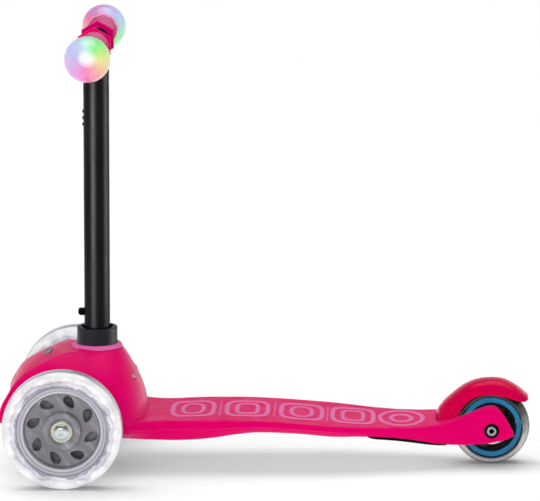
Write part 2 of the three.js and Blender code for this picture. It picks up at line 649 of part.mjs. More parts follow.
function tBar() {
  const group = new THREE.Group();
  group.position.x = STEM_X;
  group.rotation.y = STEM_RAKE;
  group.add(piece("t_bar_tube", tBarTube(), FINISH.blackTube));

  const bar = new THREE.Group();
  bar.position.z = BAR_LEVEL;
  for (const [name, side] of Object.entries(SIDES)) {
    bar.add(
      piece(`grip_${name}`, grip(side), FINISH.gripPink),
      piece(`light_ball_${name}`, endBall(side), FINISH.light),
      piece(`light_module_${name}`, lightModule(side), FINISH.black));
  }

  const latch = new THREE.Group();
  latch.position.z = BUTTON_Z;
  latch.add(
    piece("release_button", releaseButton(), FINISH.black),
    piece("button_clip", buttonClip(), FINISH.steel));

  group.add(bar, latch, piece("stem_socket", stemSocket(), FINISH.black));
  return group;
}

// ---------------------------------------------------------------------------------- assembly

function steering() {
  const group = new THREE.Group();
  group.position.z = FRONT_WHEEL_R;
  group.rotation.y = -THREE.MathUtils.degToRad(KINGPIN_RAKE);
  group.add(
    piece("steering_frame", steeringFrame(), FINISH.black),
    piece("tie_rod", tieRod(), FINISH.steel));
  for (const [name, side] of Object.entries(SIDES)) {
    const pivot = piece(`kingpin_${name}`, kingpin(), FINISH.steel);
    pivot.position.y = side * KINGPIN_Y;
    const rodPin = piece(`tie_rod_pin_${name}`, tieRodPin(), FINISH.steel);
    rodPin.position.set(-STEERING_ARM, side * KINGPIN_Y, 0);
    group.add(
      pivot,
      rodPin,
      piece(`knuckle_${name}`, knuckle(side), FINISH.black),
      piece(`steering_spring_${name}`, steeringSpring(side), FINISH.steel));
  }
  return group;
}

function chassis() {
  const group = new THREE.Group();
  group.add(
    piece("deck", deck(), FINISH.magenta),
    piece("underside_plate", undersidePlate(), FINISH.black),
    piece("front_shell", frontShell(), FINISH.magenta),
    piece("collar_ring", collarRing(), FINISH.pink),
    piece("front_badge", frontBadge(), FINISH.steel));
  const bolt = piece("socket_bolt", socketBolt(), FINISH.steel);
  bolt.position.x = SOCKET_BOLT_X;
  group.add(bolt);
  for (const [name, side] of Object.entries(SIDES)) {
    const frameScrew = piece(`frame_bolt_${name}`, frameBolt(), FINISH.steel);
    frameScrew.position.set(FRAME_BOLT_X, side * FRAME_BOLT_Y, 0);
    group.add(frameScrew, piece(`shell_screw_${name}`, hoodScrew(side), FINISH.steel));
  }
  return group;
}

function brake() {
  const group = new THREE.Group();
  const pin = disc(BRAKE_PIN_R, -24, 27.5, 12).translate(BRAKE_PIVOT.x, 0, BRAKE_PIVOT.z);
  group.add(
    piece("brake_fender", brakeFender(), FINISH.magenta),
    piece("brake_pad", brakePad(), FINISH.rubber),
    piece("brake_hinge_pin", pin, FINISH.steel),
    piece("brake_spring", brakeSpring(), FINISH.steel));
  return group;
}

const FRONT_TIP = -63;
const REAR_TIP = WHEELBASE + REAR_WHEEL_R;

const scooter = new THREE.Group();
scooter.position.x = -(FRONT_TIP + REAR_TIP) / 2;
scooter.add(
  chassis(),
  steering(),
  frontWheel("left", SIDES.left),
  frontWheel("right", SIDES.right),
  rearWheel(),
  brake(),
  tBar());

export default scooter;
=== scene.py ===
"""Looks of the kick scooter: fine moulded shapes, wheels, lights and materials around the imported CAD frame.

Sizes are in millimetres from the ground under the front axle, +X to the rear, and at() turns them into the
frame's metres. The rider's left, the side nearest the camera, is -Y.
"""

import math

import bmesh
import bpy
import numpy as np
from mathutils import Matrix, Vector


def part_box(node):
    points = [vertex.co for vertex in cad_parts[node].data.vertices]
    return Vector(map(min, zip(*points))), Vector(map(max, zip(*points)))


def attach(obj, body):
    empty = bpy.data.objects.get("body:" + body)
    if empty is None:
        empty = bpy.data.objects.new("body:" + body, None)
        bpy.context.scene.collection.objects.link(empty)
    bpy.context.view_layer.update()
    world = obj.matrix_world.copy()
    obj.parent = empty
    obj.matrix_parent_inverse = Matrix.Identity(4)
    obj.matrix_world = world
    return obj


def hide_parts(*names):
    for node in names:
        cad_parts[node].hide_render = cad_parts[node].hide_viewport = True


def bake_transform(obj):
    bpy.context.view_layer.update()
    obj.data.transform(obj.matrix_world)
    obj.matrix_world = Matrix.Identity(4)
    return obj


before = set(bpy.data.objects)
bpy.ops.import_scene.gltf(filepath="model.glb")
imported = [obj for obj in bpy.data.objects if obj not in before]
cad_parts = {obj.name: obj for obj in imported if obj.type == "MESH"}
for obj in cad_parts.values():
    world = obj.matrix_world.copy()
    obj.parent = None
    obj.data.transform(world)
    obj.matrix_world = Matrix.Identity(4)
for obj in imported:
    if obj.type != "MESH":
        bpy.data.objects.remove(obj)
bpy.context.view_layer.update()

MM = 0.001
SIDES = {"left": -1, "right": 1}


def middle(node):
    """Centre of a CAD node's box."""
    low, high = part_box(node)
    return (Vector(low) + Vector(high)) / 2


AXLE = middle("front_tyre_left")
REAR_AXLE = middle("rear_tyre")
WHEELBASE = (REAR_AXLE.x - AXLE.x) / MM
FRONT_R = AXLE.z / MM
REAR_R = REAR_AXLE.z / MM
COLLAR_X = (middle("collar_ring").x - AXLE.x) / MM
BAR = middle("light_ball_left")


def at(x, y, z):
    """A point in millimetres about the front axle's ground point, in the frame's metres."""
    return Vector((AXLE.x + x * MM, y * MM, z * MM))


# ------------------------------------------------------------ curves and outlines


def spline(points, steps):
    """Catmull-Rom curve through the points, with `steps` points for each stretch."""
    points = [Vector(p) for p in points]
    ends = [points[0] * 2 - points[1], *points, points[-1] * 2 - points[-2]]
    curve = []
    for a, b, c, d in zip(ends, ends[1:], ends[2:], ends[3:]):
        for i in range(steps):
            t = i / steps
            curve.append(0.5 * (2 * b + (c - a) * t + (2 * a - 5 * b + 4 * c - d) * t**2
                                + (3 * b - a - 3 * c + d) * t**3))
    return [*curve, points[-1]]


def resample(points, count):
    """The same curve with evenly spaced points."""
    lengths = [0.0]
    for a, b in zip(points, points[1:]):
        lengths.append(lengths[-1] + (b - a).length)
    out = []
    n = 0
    for i in range(count):
        goal = lengths[-1] * i / (count - 1)
        while n < len(points) - 2 and lengths[n + 1] < goal:
            n += 1
        span = lengths[n + 1] - lengths[n]
        out.append(points[n].lerp(points[n + 1], (goal - lengths[n]) / span if span else 0))
    return out


def graph(points):
    """A smooth function of x through (x, value) points, flat outside them."""
    def value(x):
        if x <= points[0][0]:
            return points[0][1]
        for i in range(len(points) - 1):
            (x0, y0), (x1, y1) = points[i], points[i + 1]
            if x > x1:
                continue
            before = points[i - 1] if i else points[i]
            after = points[i + 2] if i + 2 < len(points) else points[i + 1]
            slope0 = (y1 - before[1]) / (x1 - before[0])
            slope1 = (after[1] - y0) / (after[0] - x0)
            h = x1 - x0
            t = (x - x0) / h
            return ((2 * t**3 - 3 * t**2 + 1) * y0 + (t**3 - 2 * t**2 + t) * h * slope0
                    + (3 * t**2 - 2 * t**3) * y1 + (t**3 - t**2) * h * slope1)
        return points[-1][1]
    return value


def rounded(points, radius, steps=4, close=False):
    """Fillets the corners of an outline. A corner may carry its own radius as a third number."""
    count = len(points)
    out = []
    for i, corner in enumerate(points):
        here = Vector(corner[:2])
        reach = corner[2] if len(corner) > 2 else radius
        inner = close or 0 < i < count - 1
        if not inner or reach <= 0:
            out.append(here)
            continue
        back = Vector(points[i - 1][:2]) - here
        ahead = Vector(points[(i + 1) % count][:2]) - here
        turn = back.angle(ahead)
        length = min(reach / max(math.tan(turn / 2), 1e-3), back.length * 0.49, ahead.length * 0.49)
        a = here + back.normalized() * length
        b = here + ahead.normalized() * length
        for k in range(steps + 1):
            t = k / steps
            out.append(a * (1 - t) ** 2 + here * 2 * t * (1 - t) + b * t**2)
    return out


def box_loop(a_low, a_high, b_low, b_high, radius=0, steps=4):
    """Closed rectangle with rounded corners."""
    corners = [(a_low, b_low), (a_high, b_low), (a_high, b_high), (a_low, b_high)]
    return rounded(corners, radius, steps, close=True)


def closed(loop):
    """The loop with its first point again at its end."""
    return [*loop, loop[0]]


def both_faces(half):
    """A section's outline on one side of its middle plane, with its mirror image before it."""
    return [*((corner[0], -corner[1], *corner[2:]) for corner in reversed(half)), *half]


def mirrored(half):
    """A closed loop from the half of it that starts and ends on the middle line."""
    return half + [Vector((-p.x, p.y)) for p in reversed(half[1:-1])]


def turns(count):
    """Evenly spaced angles round a full turn."""
    return [2 * math.pi * k / count for k in range(count)]


def circle(radius, count):
    return [(radius * math.cos(t), radius * math.sin(t)) for t in turns(count)]


def spun(a, b, turn):
    """A flat point turned about the centre."""
    return a * math.cos(turn) - b * math.sin(turn), a * math.sin(turn) + b * math.cos(turn)


# ------------------------------------------------------------ mesh building


def new_object(name, mesh, material=None):
    piece = bpy.data.objects.new(name, mesh)
    bpy.context.scene.collection.objects.link(piece)
    if material:
        mesh.materials.clear()
        mesh.materials.append(material)
    return piece


def shade(mesh, angle=32):
    """Smooth shading that breaks at corners sharper than the angle."""
    limit = math.radians(angle)
    bm = bmesh.new()
    bm.from_mesh(mesh)
    bmesh.ops.recalc_face_normals(bm, faces=bm.faces)
    for face in bm.faces:
        face.smooth = True
    for edge in bm.edges:
        edge.smooth = len(edge.link_faces) == 2 and edge.calc_face_angle(0) < limit
    bm.to_mesh(mesh)
    bm.free()


def build(name, points, faces, material, angle=32):
    mesh = bpy.data.meshes.new(name)
    mesh.from_pydata([tuple(p) for p in points], [], faces)
    bm = bmesh.new()
    bm.from_mesh(mesh)
    bmesh.ops.remove_doubles(bm, verts=bm.verts, dist=1e-7)
    bmesh.ops.dissolve_degenerate(bm, edges=bm.edges, dist=1e-7)
    bm.to_mesh(mesh)
    bm.free()
    shade(mesh, angle)
    return new_object(name, mesh, material)


def grid(rows, close_u=False, close_v=False, caps=False):
    """Faces over rows of points: u runs along a row, and v from row to row."""
    count_v, count_u = len(rows), len(rows[0])
    points = [p for row in rows for p in row]
    faces = []
    for v in range(count_v if close_v else count_v - 1):
        for u in range(count_u if close_u else count_u - 1):
            w, x = (v + 1) % count_v, (u + 1) % count_u
            faces.append((v * count_u + u, v * count_u + x, w * count_u + x, w * count_u + u))
    if caps:
        faces.append(tuple(range(count_u)))
        faces.append(tuple(range((count_v - 1) * count_u, count_v * count_u)))
    return points, faces


def skin(name, rows, material, angle=32, **closing):
    """A mesh over rows of points."""
    return build(name, *grid(rows, **closing), material, angle)


def turned(name, profile, centre, material, axis="Y", segments=96, side=1, shape=None):
    """A shape of revolution. profile holds (radius, height along the axis) in millimetres."""
    rows = []
    for phi in turns(segments):
        row = []
        for r, h in profile:
            radius = r * (shape(phi, r) if shape else 1)
            a, b = radius * math.cos(phi), radius * math.sin(phi)
            spot = {"Y": (a * side, h * side, b), "Z": (a, b, h), "X": (h * side, a, b)}[axis]
            row.append(centre + Vector(spot) * MM)
        rows.append(row)
    return skin(name, rows, material, close_v=True)


def bore_tool(radius, low, high, centre, axis="Y", segments=96):
    """A plain cylinder for carving."""
    profile = [(0, low), (radius, low), (radius, high), (0, high)]
    return turned("bore", profile, centre, None, axis, segments)


def cut_plate(name, outer, holes, half, bevel, place, material):
    """A flat plate with holes and rounded edges. place turns its (a, b, height) into the frame."""
    curve = bpy.data.curves.new(name, "CURVE")
    curve.dimensions = "2D"
    curve.fill_mode = "BOTH"
    curve.extrude = (half - bevel) * MM
    curve.bevel_depth = bevel * MM
    curve.bevel_resolution = 2
    curve.offset = -bevel * MM
    for loop in [outer, *holes]:
        line = curve.splines.new("POLY")
        line.points.add(len(loop) - 1)
        for point, (a, b) in zip(line.points, loop):
            point.co = (a * MM, b * MM, 0, 1)
        line.use_cyclic_u = True
    stand_in = bpy.data.objects.new(name, curve)
    mesh = bpy.data.meshes.new_from_object(stand_in)
    bpy.data.objects.remove(stand_in)
    for vertex in mesh.vertices:
        a, b, h = vertex.co
        vertex.co = place(a / MM, b / MM, h / MM)
    bm = bmesh.new()
    bm.from_mesh(mesh)
    bmesh.ops.remove_doubles(bm, verts=bm.verts, dist=2e-6)
    bm.to_mesh(mesh)
    bm.free()
    shade(mesh, 40)
    return new_object(name, mesh, material)


def combine(name, parts):
    """Joins several objects into one mesh, in the material of the first."""
    bm = bmesh.new()
    for part in parts:
        bm.from_mesh(part.data)
    mesh = bpy.data.meshes.new(name)
    bm.to_mesh(mesh)
    bm.free()
    material = parts[0].data.materials[0]
    for part in parts:
        bpy.data.objects.remove(part)
    return new_object(name, mesh, material)


def settle(piece):
    """Bakes the modifiers of a piece into its mesh."""
    view = bpy.context.evaluated_depsgraph_get()
    mesh = bpy.data.meshes.new_from_object(piece.evaluated_get(view))
    piece.modifiers.clear()
    piece.data = mesh
    return piece


def carve(piece, tools, angle=32):
    """Cuts the tools out of a piece and removes them."""
    for tool in tools:
        step = piece.modifiers.new("carve", "BOOLEAN")
        step.operation = "DIFFERENCE"
        step.solver = "EXACT"
        step.object = tool
        settle(piece)
        bpy.data.objects.remove(tool)
    shade(piece.data, angle)
    return piece


def prism(outline, low, high):
    """A plain tool for carving: a flat outline seen from above, between two heights."""
    rows = [[at(x, y, z) for x, y in outline] for z in (low, high)]
    return skin("prism", rows, None, close_u=True, caps=True)


def thicken(piece, wall):
    """Gives an open skin a wall on its inside."""
    step = piece.modifiers.new("wall", "SOLIDIFY")
    step.thickness = wall * MM
    step.offset = -1
    step.use_rim = True
    step.use_even_offset = True
    settle(piece)


def finished(piece, body, node=None):
    """Puts a piece on its CAD body, in place of the node that it stands for."""
    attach(piece, body)
    if node:
        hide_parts(node)
    return piece


# ------------------------------------------------------------ materials


class Surface:
    """A Principled material with its node tree at hand."""

    def __init__(self, name, **sockets):
        self.material = bpy.data.materials.new(name)
        self.material.use_nodes = True
        self.tree = self.material.node_tree
        self.shader = self.tree.nodes["Principled BSDF"]
        for socket, value in sockets.items():
            self.shader.inputs[socket.replace("_", " ")].default_value = value
        self.place = self.node("ShaderNodeTexCoord").outputs["Object"]

    def node(self, kind, **values):
        node = self.tree.nodes.new(kind)
        for key, value in values.items():
            if hasattr(node, key):
                setattr(node, key, value)
            else:
                node.inputs[key.replace("_", " ")].default_value = value
        return node

    def link(self, output, target):
        self.tree.links.new(output, target)

    def noise(self, scale, detail=4.0, roughness=0.55):
        node = self.node("ShaderNodeTexNoise", Scale=scale, Detail=detail, Roughness=roughness)
        self.link(self.place, node.inputs["Vector"])
        return node.outputs["Fac"]

    def spread(self, value, low, high, from_low=0.0, from_high=1.0):
        node = self.node("ShaderNodeMapRange")
        node.inputs["From Min"].default_value = from_low
        node.inputs["From Max"].default_value = from_high
        node.inputs["To Min"].default_value = low
        node.inputs["To Max"].default_value = high
        self.link(value, node.inputs["Value"])
        return node.outputs["Result"]

    def ramp(self, value, stops):
        node = self.node("ShaderNodeValToRGB")
        elements = node.color_ramp.elements
        while len(elements) < len(stops):
            elements.new(0.5)
        for element, (spot, colour) in zip(elements, stops):
            element.position = spot
            element.color = (*colour, 1)
        self.link(value, node.inputs["Fac"])
        return node.outputs["Color"]

    def mix(self, factor, a, b, blend="MIX"):
        node = self.node("ShaderNodeMix", data_type="RGBA", blend_type=blend)
        for source, target in ((factor, 0), (a, 6), (b, 7)):
            socket = node.inputs[target]
            if isinstance(source, bpy.types.NodeSocket):
                self.link(source, socket)
            else:
                socket.default_value = source if target == 0 else (*source, 1)
        return node.outputs[2]

    def bump(self, height, distance, strength):
        node = self.node("ShaderNodeBump", Strength=strength, Distance=distance)
        self.link(height, node.inputs["Height"])
        self.link(node.outputs["Normal"], self.shader.inputs["Normal"])

    def grain(self, scale, detail, distance, strength):
        """Fine relief."""
        self.bump(self.noise(scale, detail), distance, strength)

    def colour(self, output):
        self.link(output, self.shader.inputs["Base Color"])

    def glow(self, output, strength):
        """Colours the surface and lets it shine mildly in the same colour."""
        self.colour(output)
        self.link(output, self.shader.inputs["Emission Color"])
        self.shader.inputs["Emission Strength"].default_value = strength

    def rough(self, output):
        self.link(output, self.shader.inputs["Roughness"])

    def worn(self, scale, detail, low, high, from_low=0.0, from_high=1.0):
        """Roughness that wanders between two values."""
        self.rough(self.spread(self.noise(scale, detail), low, high, from_low, from_high))

    def finish(self, worn, grain):
        """Adds uneven roughness and fine relief, and returns the material."""
        self.worn(*worn)
        self.grain(*grain)
        return self.material


def moulded(name, colour, light, roughness, grain=0.00004, grain_scale=2600, specular=0.25):
    """Injection-moulded plastic: fine spark grain, faint flow marks, and paler edges that are partly rubbing
    wear and partly painted highlight.
    """
    m = Surface(name, Specular_IOR_Level=specular)
    m.shader.inputs["Specular Tint"].default_value = (*colour, 1)
    flow = m.noise(14, 5)
    tint = m.mix(m.spread(flow, 0.0, 1.0, 0.3, 0.7), tuple(c * 0.93 for c in colour), colour)
    # Edges found by pointiness are painted paler: partly wear, partly painted highlight along the edges.
    edges = m.node("ShaderNodeNewGeometry").outputs["Pointiness"]
    rub_and_highlight = m.spread(edges, 0.0, 0.2, 0.52, 0.60)
    m.colour(m.mix(rub_and_highlight, tint, light))
    return m.finish(worn=(60, 6, roughness - 0.07, roughness + 0.09, 0.3, 0.7),
                    grain=(grain_scale, 2, grain, 0.6))


def metal(name, colour, roughness, brush=(1, 1, 1)):
    """Plated or turned metal with fine brush marks and a little tarnish."""
    m = Surface(name, Metallic=1.0)
    spread = m.node("ShaderNodeMapping")
    spread.inputs["Scale"].default_value = brush
    m.link(m.place, spread.inputs["Vector"])
    marks = m.node("ShaderNodeTexNoise", Scale=900.0, Detail=5.0)
    m.link(spread.outputs["Vector"], marks.inputs["Vector"])
    tarnish = m.noise(90, 5)
    m.colour(m.mix(m.spread(tarnish, 0, 0.5, 0.4, 0.75), colour, tuple(c * 0.6 for c in colour)))
    m.rough(m.spread(marks.outputs["Fac"], roughness - 0.08, roughness + 0.14, 0.3, 0.7))
    m.bump(marks.outputs["Fac"], 0.00003, 0.5)
    return m.material


def rubber(name, colour):
    """Matt rubber with a little dust."""
    m = Surface(name)
    dust = m.noise(45, 6)
    m.colour(m.mix(m.spread(dust, 0, 1, 0.35, 0.7), tuple(c * 0.88 for c in colour), colour))
    return m.finish(worn=(180, 4, 0.62, 0.78, 0.3, 0.7), grain=(3200, 2, 0.00006, 0.7))


def about(m, centre):
    """X, Y and Z of a surface point from a centre, as node outputs in metres."""
    shift = m.node("ShaderNodeVectorMath", operation="SUBTRACT")
    m.link(m.place, shift.inputs[0])
    shift.inputs[1].default_value = centre
    split = m.node("ShaderNodeSeparateXYZ")
    m.link(shift.outputs[0], split.inputs[0])
    return split.outputs


def maths(m, operation, a, b=None):
    node = m.node("ShaderNodeMath", operation=operation)
    for source, socket in ((a, node.inputs[0]), (b, node.inputs[1])):
        if source is None:
            continue
        if isinstance(source, bpy.types.NodeSocket):
            m.link(source, socket)
        else:
            socket.default_value = source
    return node.outputs[0]


def wheel_radius(m, centre):
    """Distance from a line along Y through the centre, in millimetres."""
    x, _, z = about(m, centre)
    squares = maths(m, "ADD", maths(m, "MULTIPLY", x, x), maths(m, "MULTIPLY", z, z))
    return maths(m, "MULTIPLY", maths(m, "SQRT", squares), 1000.0)


MAGENTA = (0.87, 0.0, 0.15)
MAGENTA_LIGHT = (0.95, 0.02, 0.23)
PINK = (0.88, 0.17, 0.48)
PATTERN_PINK = (0.86, 0.20, 0.46)
BLACK = (0.005, 0.0045, 0.006)
BLACK_LIGHT = (0.04, 0.04, 0.044)

magenta = moulded("magenta_plastic", MAGENTA, MAGENTA_LIGHT, 0.36)
deck_magenta = moulded("magenta_deck", MAGENTA, MAGENTA_LIGHT, 0.42, grain=0.00006, grain_scale=1500)
pink = moulded("pink_plastic", PINK, (0.95, 0.35, 0.62), 0.45)
pattern_pink = moulded("pattern_rubber", PATTERN_PINK, (0.9, 0.3, 0.55), 0.6, grain=0.00008)
black = moulded("black_plastic", BLACK, BLACK_LIGHT, 0.42, specular=0.2)
zinc = metal("zinc_steel", (0.50, 0.55, 0.57), 0.24)
dark_steel = metal("dark_steel", (0.09, 0.09, 0.10), 0.3)
badge_metal = metal("badge_metal", (0.30, 0.30, 0.32), 0.34, brush=(1, 8, 1))


# ------------------------------------------------------------ camera, floor, light


def make_camera():
    """Telephoto view from the scooter's left, a little above and nearly square on."""
    turn, lift, roll = (math.radians(degrees) for degrees in (1.72, 11.2, 0.39))
    aim = at(203.87, 0, 219.5)
    distance = 4.0
    back = Vector((math.sin(turn) * math.cos(lift), -math.cos(turn) * math.cos(lift), math.sin(lift)))
    right = Vector((math.cos(turn), math.sin(turn), 0))
    up = back.cross(right)
    tilted_right = right * math.cos(roll) - up * math.sin(roll)
    tilted_up = right * math.sin(roll) + up * math.cos(roll)
    data = bpy.data.cameras.new("camera")
    data.lens = 264.65
    data.sensor_width = 36
    data.clip_end = 60
    camera = bpy.data.objects.new("camera", data)
    place = aim + back * distance
    camera.matrix_world = Matrix([
        [tilted_right[i], tilted_up[i], back[i], place[i]] for i in range(3)] + [[0, 0, 0, 1]])
    bpy.context.scene.collection.objects.link(camera)
    bpy.context.scene.camera = camera


def make_floor():
    """Pale paper, lit a little from below like a product table."""
    m = Surface("floor_paper", Specular_IOR_Level=0.0, Emission_Strength=0.05)
    paper = m.mix(m.spread(m.noise(3, 3), 0, 1, 0.3, 0.7), (0.79, 0.79, 0.79), (0.81, 0.81, 0.81))
    m.colour(paper)
    m.shader.inputs["Emission Color"].default_value = (1, 1, 1, 1)
    m.worn(400, 3, 0.75, 0.85)
    half = 30.0                                                 # metres, well past what the camera sees
    points = [(-half, -half, 0), (half, -half, 0), (half, half, 0), (-half, half, 0)]
    floor = build("floor", points, [(0, 1, 2, 3)], m.material)
    soft_sun("table", 1.42, 46, (-8, -28), [floor])


def hang(data, only):
    """Adds a lamp, which lights only the given pieces if there are any."""
    lamp = bpy.data.objects.new(data.name, data)
    bpy.context.scene.collection.objects.link(lamp)
    if only:
        lit = bpy.data.collections.new(f"{data.name}_receivers")
        for piece in only:
            lit.objects.link(piece)
        lamp.light_linking.receiver_collection = lit
    return lamp


def soft_sun(name, strength, width, tip, only=None):
    """Wide soft light from above, tipped about X and Y by the given degrees."""
    data = bpy.data.lights.new(name, "SUN")
    data.energy = strength
    data.angle = math.radians(width)
    lamp = hang(data, only)
    lamp.rotation_euler = (math.radians(tip[0]), math.radians(tip[1]), 0)


def soft_light(name, place, aim, size, power, only=None):
    """Rectangular lamp at a place in the frame, turned to its aim and unseen by the camera."""
    data = bpy.data.lights.new(name, "AREA")
    data.shape = "RECTANGLE"
    data.size, data.size_y = size
    data.energy = power
    lamp = hang(data, only)
    lamp.location = place
    lamp.rotation_euler = (Vector(place) - Vector(aim)).to_track_quat("Z", "Y").to_euler()
    lamp.visible_camera = False


def tube_lights(pieces):
    """Two strips that only draw the long reflections on the black tube and its socket."""
    stem = (-0.17, 0, 0.28)
    soft_light("tube_left", (-0.52, -0.66, 0.20), stem, (0.44, 0.70), 38, pieces)
    soft_light("tube_right", (0.42, 0.02, 0.20), stem, (0.40, 0.62), 11, pieces)


def make_world():
    """A studio that is bright towards the horizon and dimmer overhead."""
    world = bpy.data.worlds.new("studio")
    bpy.context.scene.world = world
    world.use_nodes = True
    tree = world.node_tree
    place = tree.nodes.new("ShaderNodeTexCoord")
    split = tree.nodes.new("ShaderNodeSeparateXYZ")
    tree.links.new(place.outputs["Generated"], split.inputs[0])
    fade = tree.nodes.new("ShaderNodeValToRGB")
    fade.color_ramp.elements[0].color = (1, 1, 1, 1)
    fade.color_ramp.elements[1].position = 0.55
    fade.color_ramp.elements[1].color = (0.22, 0.22, 0.23, 1)
    tree.links.new(split.outputs["Z"], fade.inputs["Fac"])
    tree.links.new(fade.outputs["Color"], tree.nodes["Background"].inputs["Color"])
    tree.nodes["Background"].inputs["Strength"].default_value = 0.8


def make_lights():
    make_world()
    soft_light("front", (-0.7, -2.2, 1.0), (0, 0, 0.15), (1.4, 1.0), 13.5)
    soft_sun("overhead", 1.75, 55, (-6, 4))
    bpy.context.scene.view_settings.view_transform = "Standard"


# ------------------------------------------------------------ materials of single pieces


def glow_tyre(name, centre):
    """Cast clear polyurethane lit from the hub: painted bright patches, painted lavender shade by the rim,
    and a painted dark outline at the tread.
    """
    m = Surface(f"glowing_tyre_{name}", IOR=1.49, Transmission_Weight=0.3, Coat_Weight=0.3)
    radius = wheel_radius(m, centre)
    x, _, z = about(m, centre)
    turn = maths(m, "ARCTAN2", z, x)
    lobes = maths(m, "MULTIPLY", maths(m, "COSINE", maths(m, "MULTIPLY", turn, 20.0)), 0.4)
    drift = m.spread(m.noise(70, 3), -2.6, 2.6, 0.3, 0.7)
    waved = maths(m, "ADD", maths(m, "ADD", radius, lobes), drift)
    share = m.spread(waved, 0, 1, 44, FRONT_R)
    lit = m.ramp(share, [
        (0.0, (0.52, 0.50, 0.58)), (0.16, (0.46, 0.44, 0.52)), (0.26, (0.92, 0.92, 0.95)),
        (0.42, (0.72, 0.71, 0.77)), (0.54, (0.98, 0.98, 0.98)), (1.0, (0.96, 0.96, 0.96))])
    dim = m.ramp(share, [
        (0.0, (0.36, 0.34, 0.42)), (0.20, (0.28, 0.26, 0.34)), (0.32, (0.62, 0.61, 0.67)),
        (0.46, (0.40, 0.39, 0.45)), (0.60, (0.74, 0.74, 0.77)), (1.0, (0.80, 0.80, 0.81))])
    # Bright and dim patches are painted light and shade laid over the glow.
    patches = m.mix(m.spread(m.noise(52, 3), 0.0, 1.0, 0.42, 0.60), dim, lit)
    # Painted dark outline along the tread.
    outline_shade = m.ramp(m.spread(radius, 0, 1, FRONT_R - 3, FRONT_R), [
        (0.0, (1, 1, 1)), (0.66, (0.95, 0.95, 0.95)), (0.84, (0.66, 0.66, 0.68)),
        (1.0, (0.42, 0.42, 0.45))])
    m.glow(m.mix(1.0, patches, outline_shade, "MULTIPLY"), 0.24)
    return m.finish(worn=(220, 3, 0.08, 0.2), grain=(70, 3, 0.0002, 0.4))


def rear_clear(centre):
    """Clear polyurethane with painted shade: a painted shadow darkening it above, from the brake over it, and
    painted dark lines along its tread and the band.
    """
    m = Surface("rear_clear_rubber", IOR=1.45, Transmission_Weight=0.6, Coat_Weight=0.4)
    radius = wheel_radius(m, centre)
    # Painted dark lines by the band and along the tread, with the pale clear body between.
    edge_shade_rings = m.ramp(m.spread(radius, 0, 1, 31, 39), [
        (0.0, (0.02, 0.02, 0.02)), (0.13, (0.04, 0.04, 0.04)), (0.20, (0.90, 0.87, 0.85)),
        (0.6, (0.98, 0.96, 0.94)), (0.80, (0.90, 0.87, 0.85)), (0.87, (0.05, 0.05, 0.06)),
        (1.0, (0.02, 0.02, 0.03))])
    # Painted shadow from the fender above: darker with height in the frame, so it stays put while the wheel
    # turns.
    spot = m.node("ShaderNodeSeparateXYZ")
    m.link(m.node("ShaderNodeNewGeometry").outputs["Position"], spot.inputs[0])
    shadow_edge_noise = m.spread(m.noise(120, 3), -0.006, 0.006, 0.3, 0.7)
    height = m.spread(maths(m, "ADD", spot.outputs[2], shadow_edge_noise), 0, 1, centre.z - 0.030, centre.z + 0.034)
    shadow = m.ramp(height, [
        (0.0, (1, 1, 1)), (0.25, (0.95, 0.95, 0.95)), (0.50, (0.40, 0.40, 0.42)),
        (0.72, (0.13, 0.13, 0.145)), (0.86, (0.02, 0.02, 0.022)), (1.0, (0.008, 0.008, 0.009))])
    m.colour(m.mix(1.0, edge_shade_rings, shadow, "MULTIPLY"))
    return m.finish(worn=(160, 4, 0.04, 0.14), grain=(90, 4, 0.00015, 0.4))


def smoked_plastic(name, centre):
    """Smoke-tinted polycarbonate with soft smoke variation, painted highlight streaks, and a painted bright
    rim standing in for the lamp ring's light.
    """
    m = Surface(f"smoked_plastic_{name}", IOR=1.5, Transmission_Weight=0.1, Coat_Weight=0.5,
                Coat_Roughness=0.1)
    x, _, z = about(m, centre)
    radius = wheel_radius(m, centre)
    # The pale end of these streaks is painted highlight over the smoke tint.
    highlight_streak_place = m.node("ShaderNodeCombineXYZ")
    m.link(maths(m, "MULTIPLY", x, 22.0), highlight_streak_place.inputs[0])
    m.link(maths(m, "MULTIPLY", maths(m, "ADD", z, x), 40.0), highlight_streak_place.inputs[1])
    marks = m.node("ShaderNodeTexNoise", Scale=1.6, Detail=2.5)
    m.link(highlight_streak_place.outputs[0], marks.inputs["Vector"])
    smoke = m.ramp(m.spread(marks.outputs["Fac"], 0, 1, 0.3, 0.7), [
        (0.0, (0.19, 0.175, 0.20)), (0.55, (0.25, 0.235, 0.265)), (0.85, (0.36, 0.345, 0.375)),
        (1.0, (0.60, 0.58, 0.61))])
    # The rim's bright and dark bands are painted light from the lamp ring.
    rim = m.ramp(m.spread(radius, 0, 1, 36, 46), [
        (0.0, (0.26, 0.245, 0.28)), (0.22, (0.36, 0.34, 0.39)), (0.30, (0.80, 0.79, 0.83)),
        (0.42, (0.74, 0.73, 0.78)), (0.52, (0.40, 0.385, 0.45)), (0.62, (0.56, 0.54, 0.62)),
        (0.86, (0.50, 0.48, 0.56)), (1.0, (0.72, 0.71, 0.76))])
    m.colour(m.mix(m.spread(radius, 0, 1, 36.5, 38.5), smoke, rim))
    return m.finish(worn=(240, 3, 0.12, 0.3), grain=(120, 3, 0.0001, 0.4))


def hub_shade():
    """Painted shade behind the hub's holes: dark plastic, with painted pale reflections here and there."""
    m = Surface("core_back", Specular_IOR_Level=0.4)
    m.colour(m.ramp(m.spread(m.noise(30, 2), 0, 1, 0.34, 0.66), [
        (0.0, (0.03, 0.032, 0.034)), (0.45, (0.07, 0.072, 0.076)), (0.75, (0.20, 0.195, 0.205)),
        (1.0, (0.42, 0.40, 0.42))]))
    return m.finish(worn=(240, 3, 0.2, 0.36), grain=(700, 2, 0.00004, 0.5))


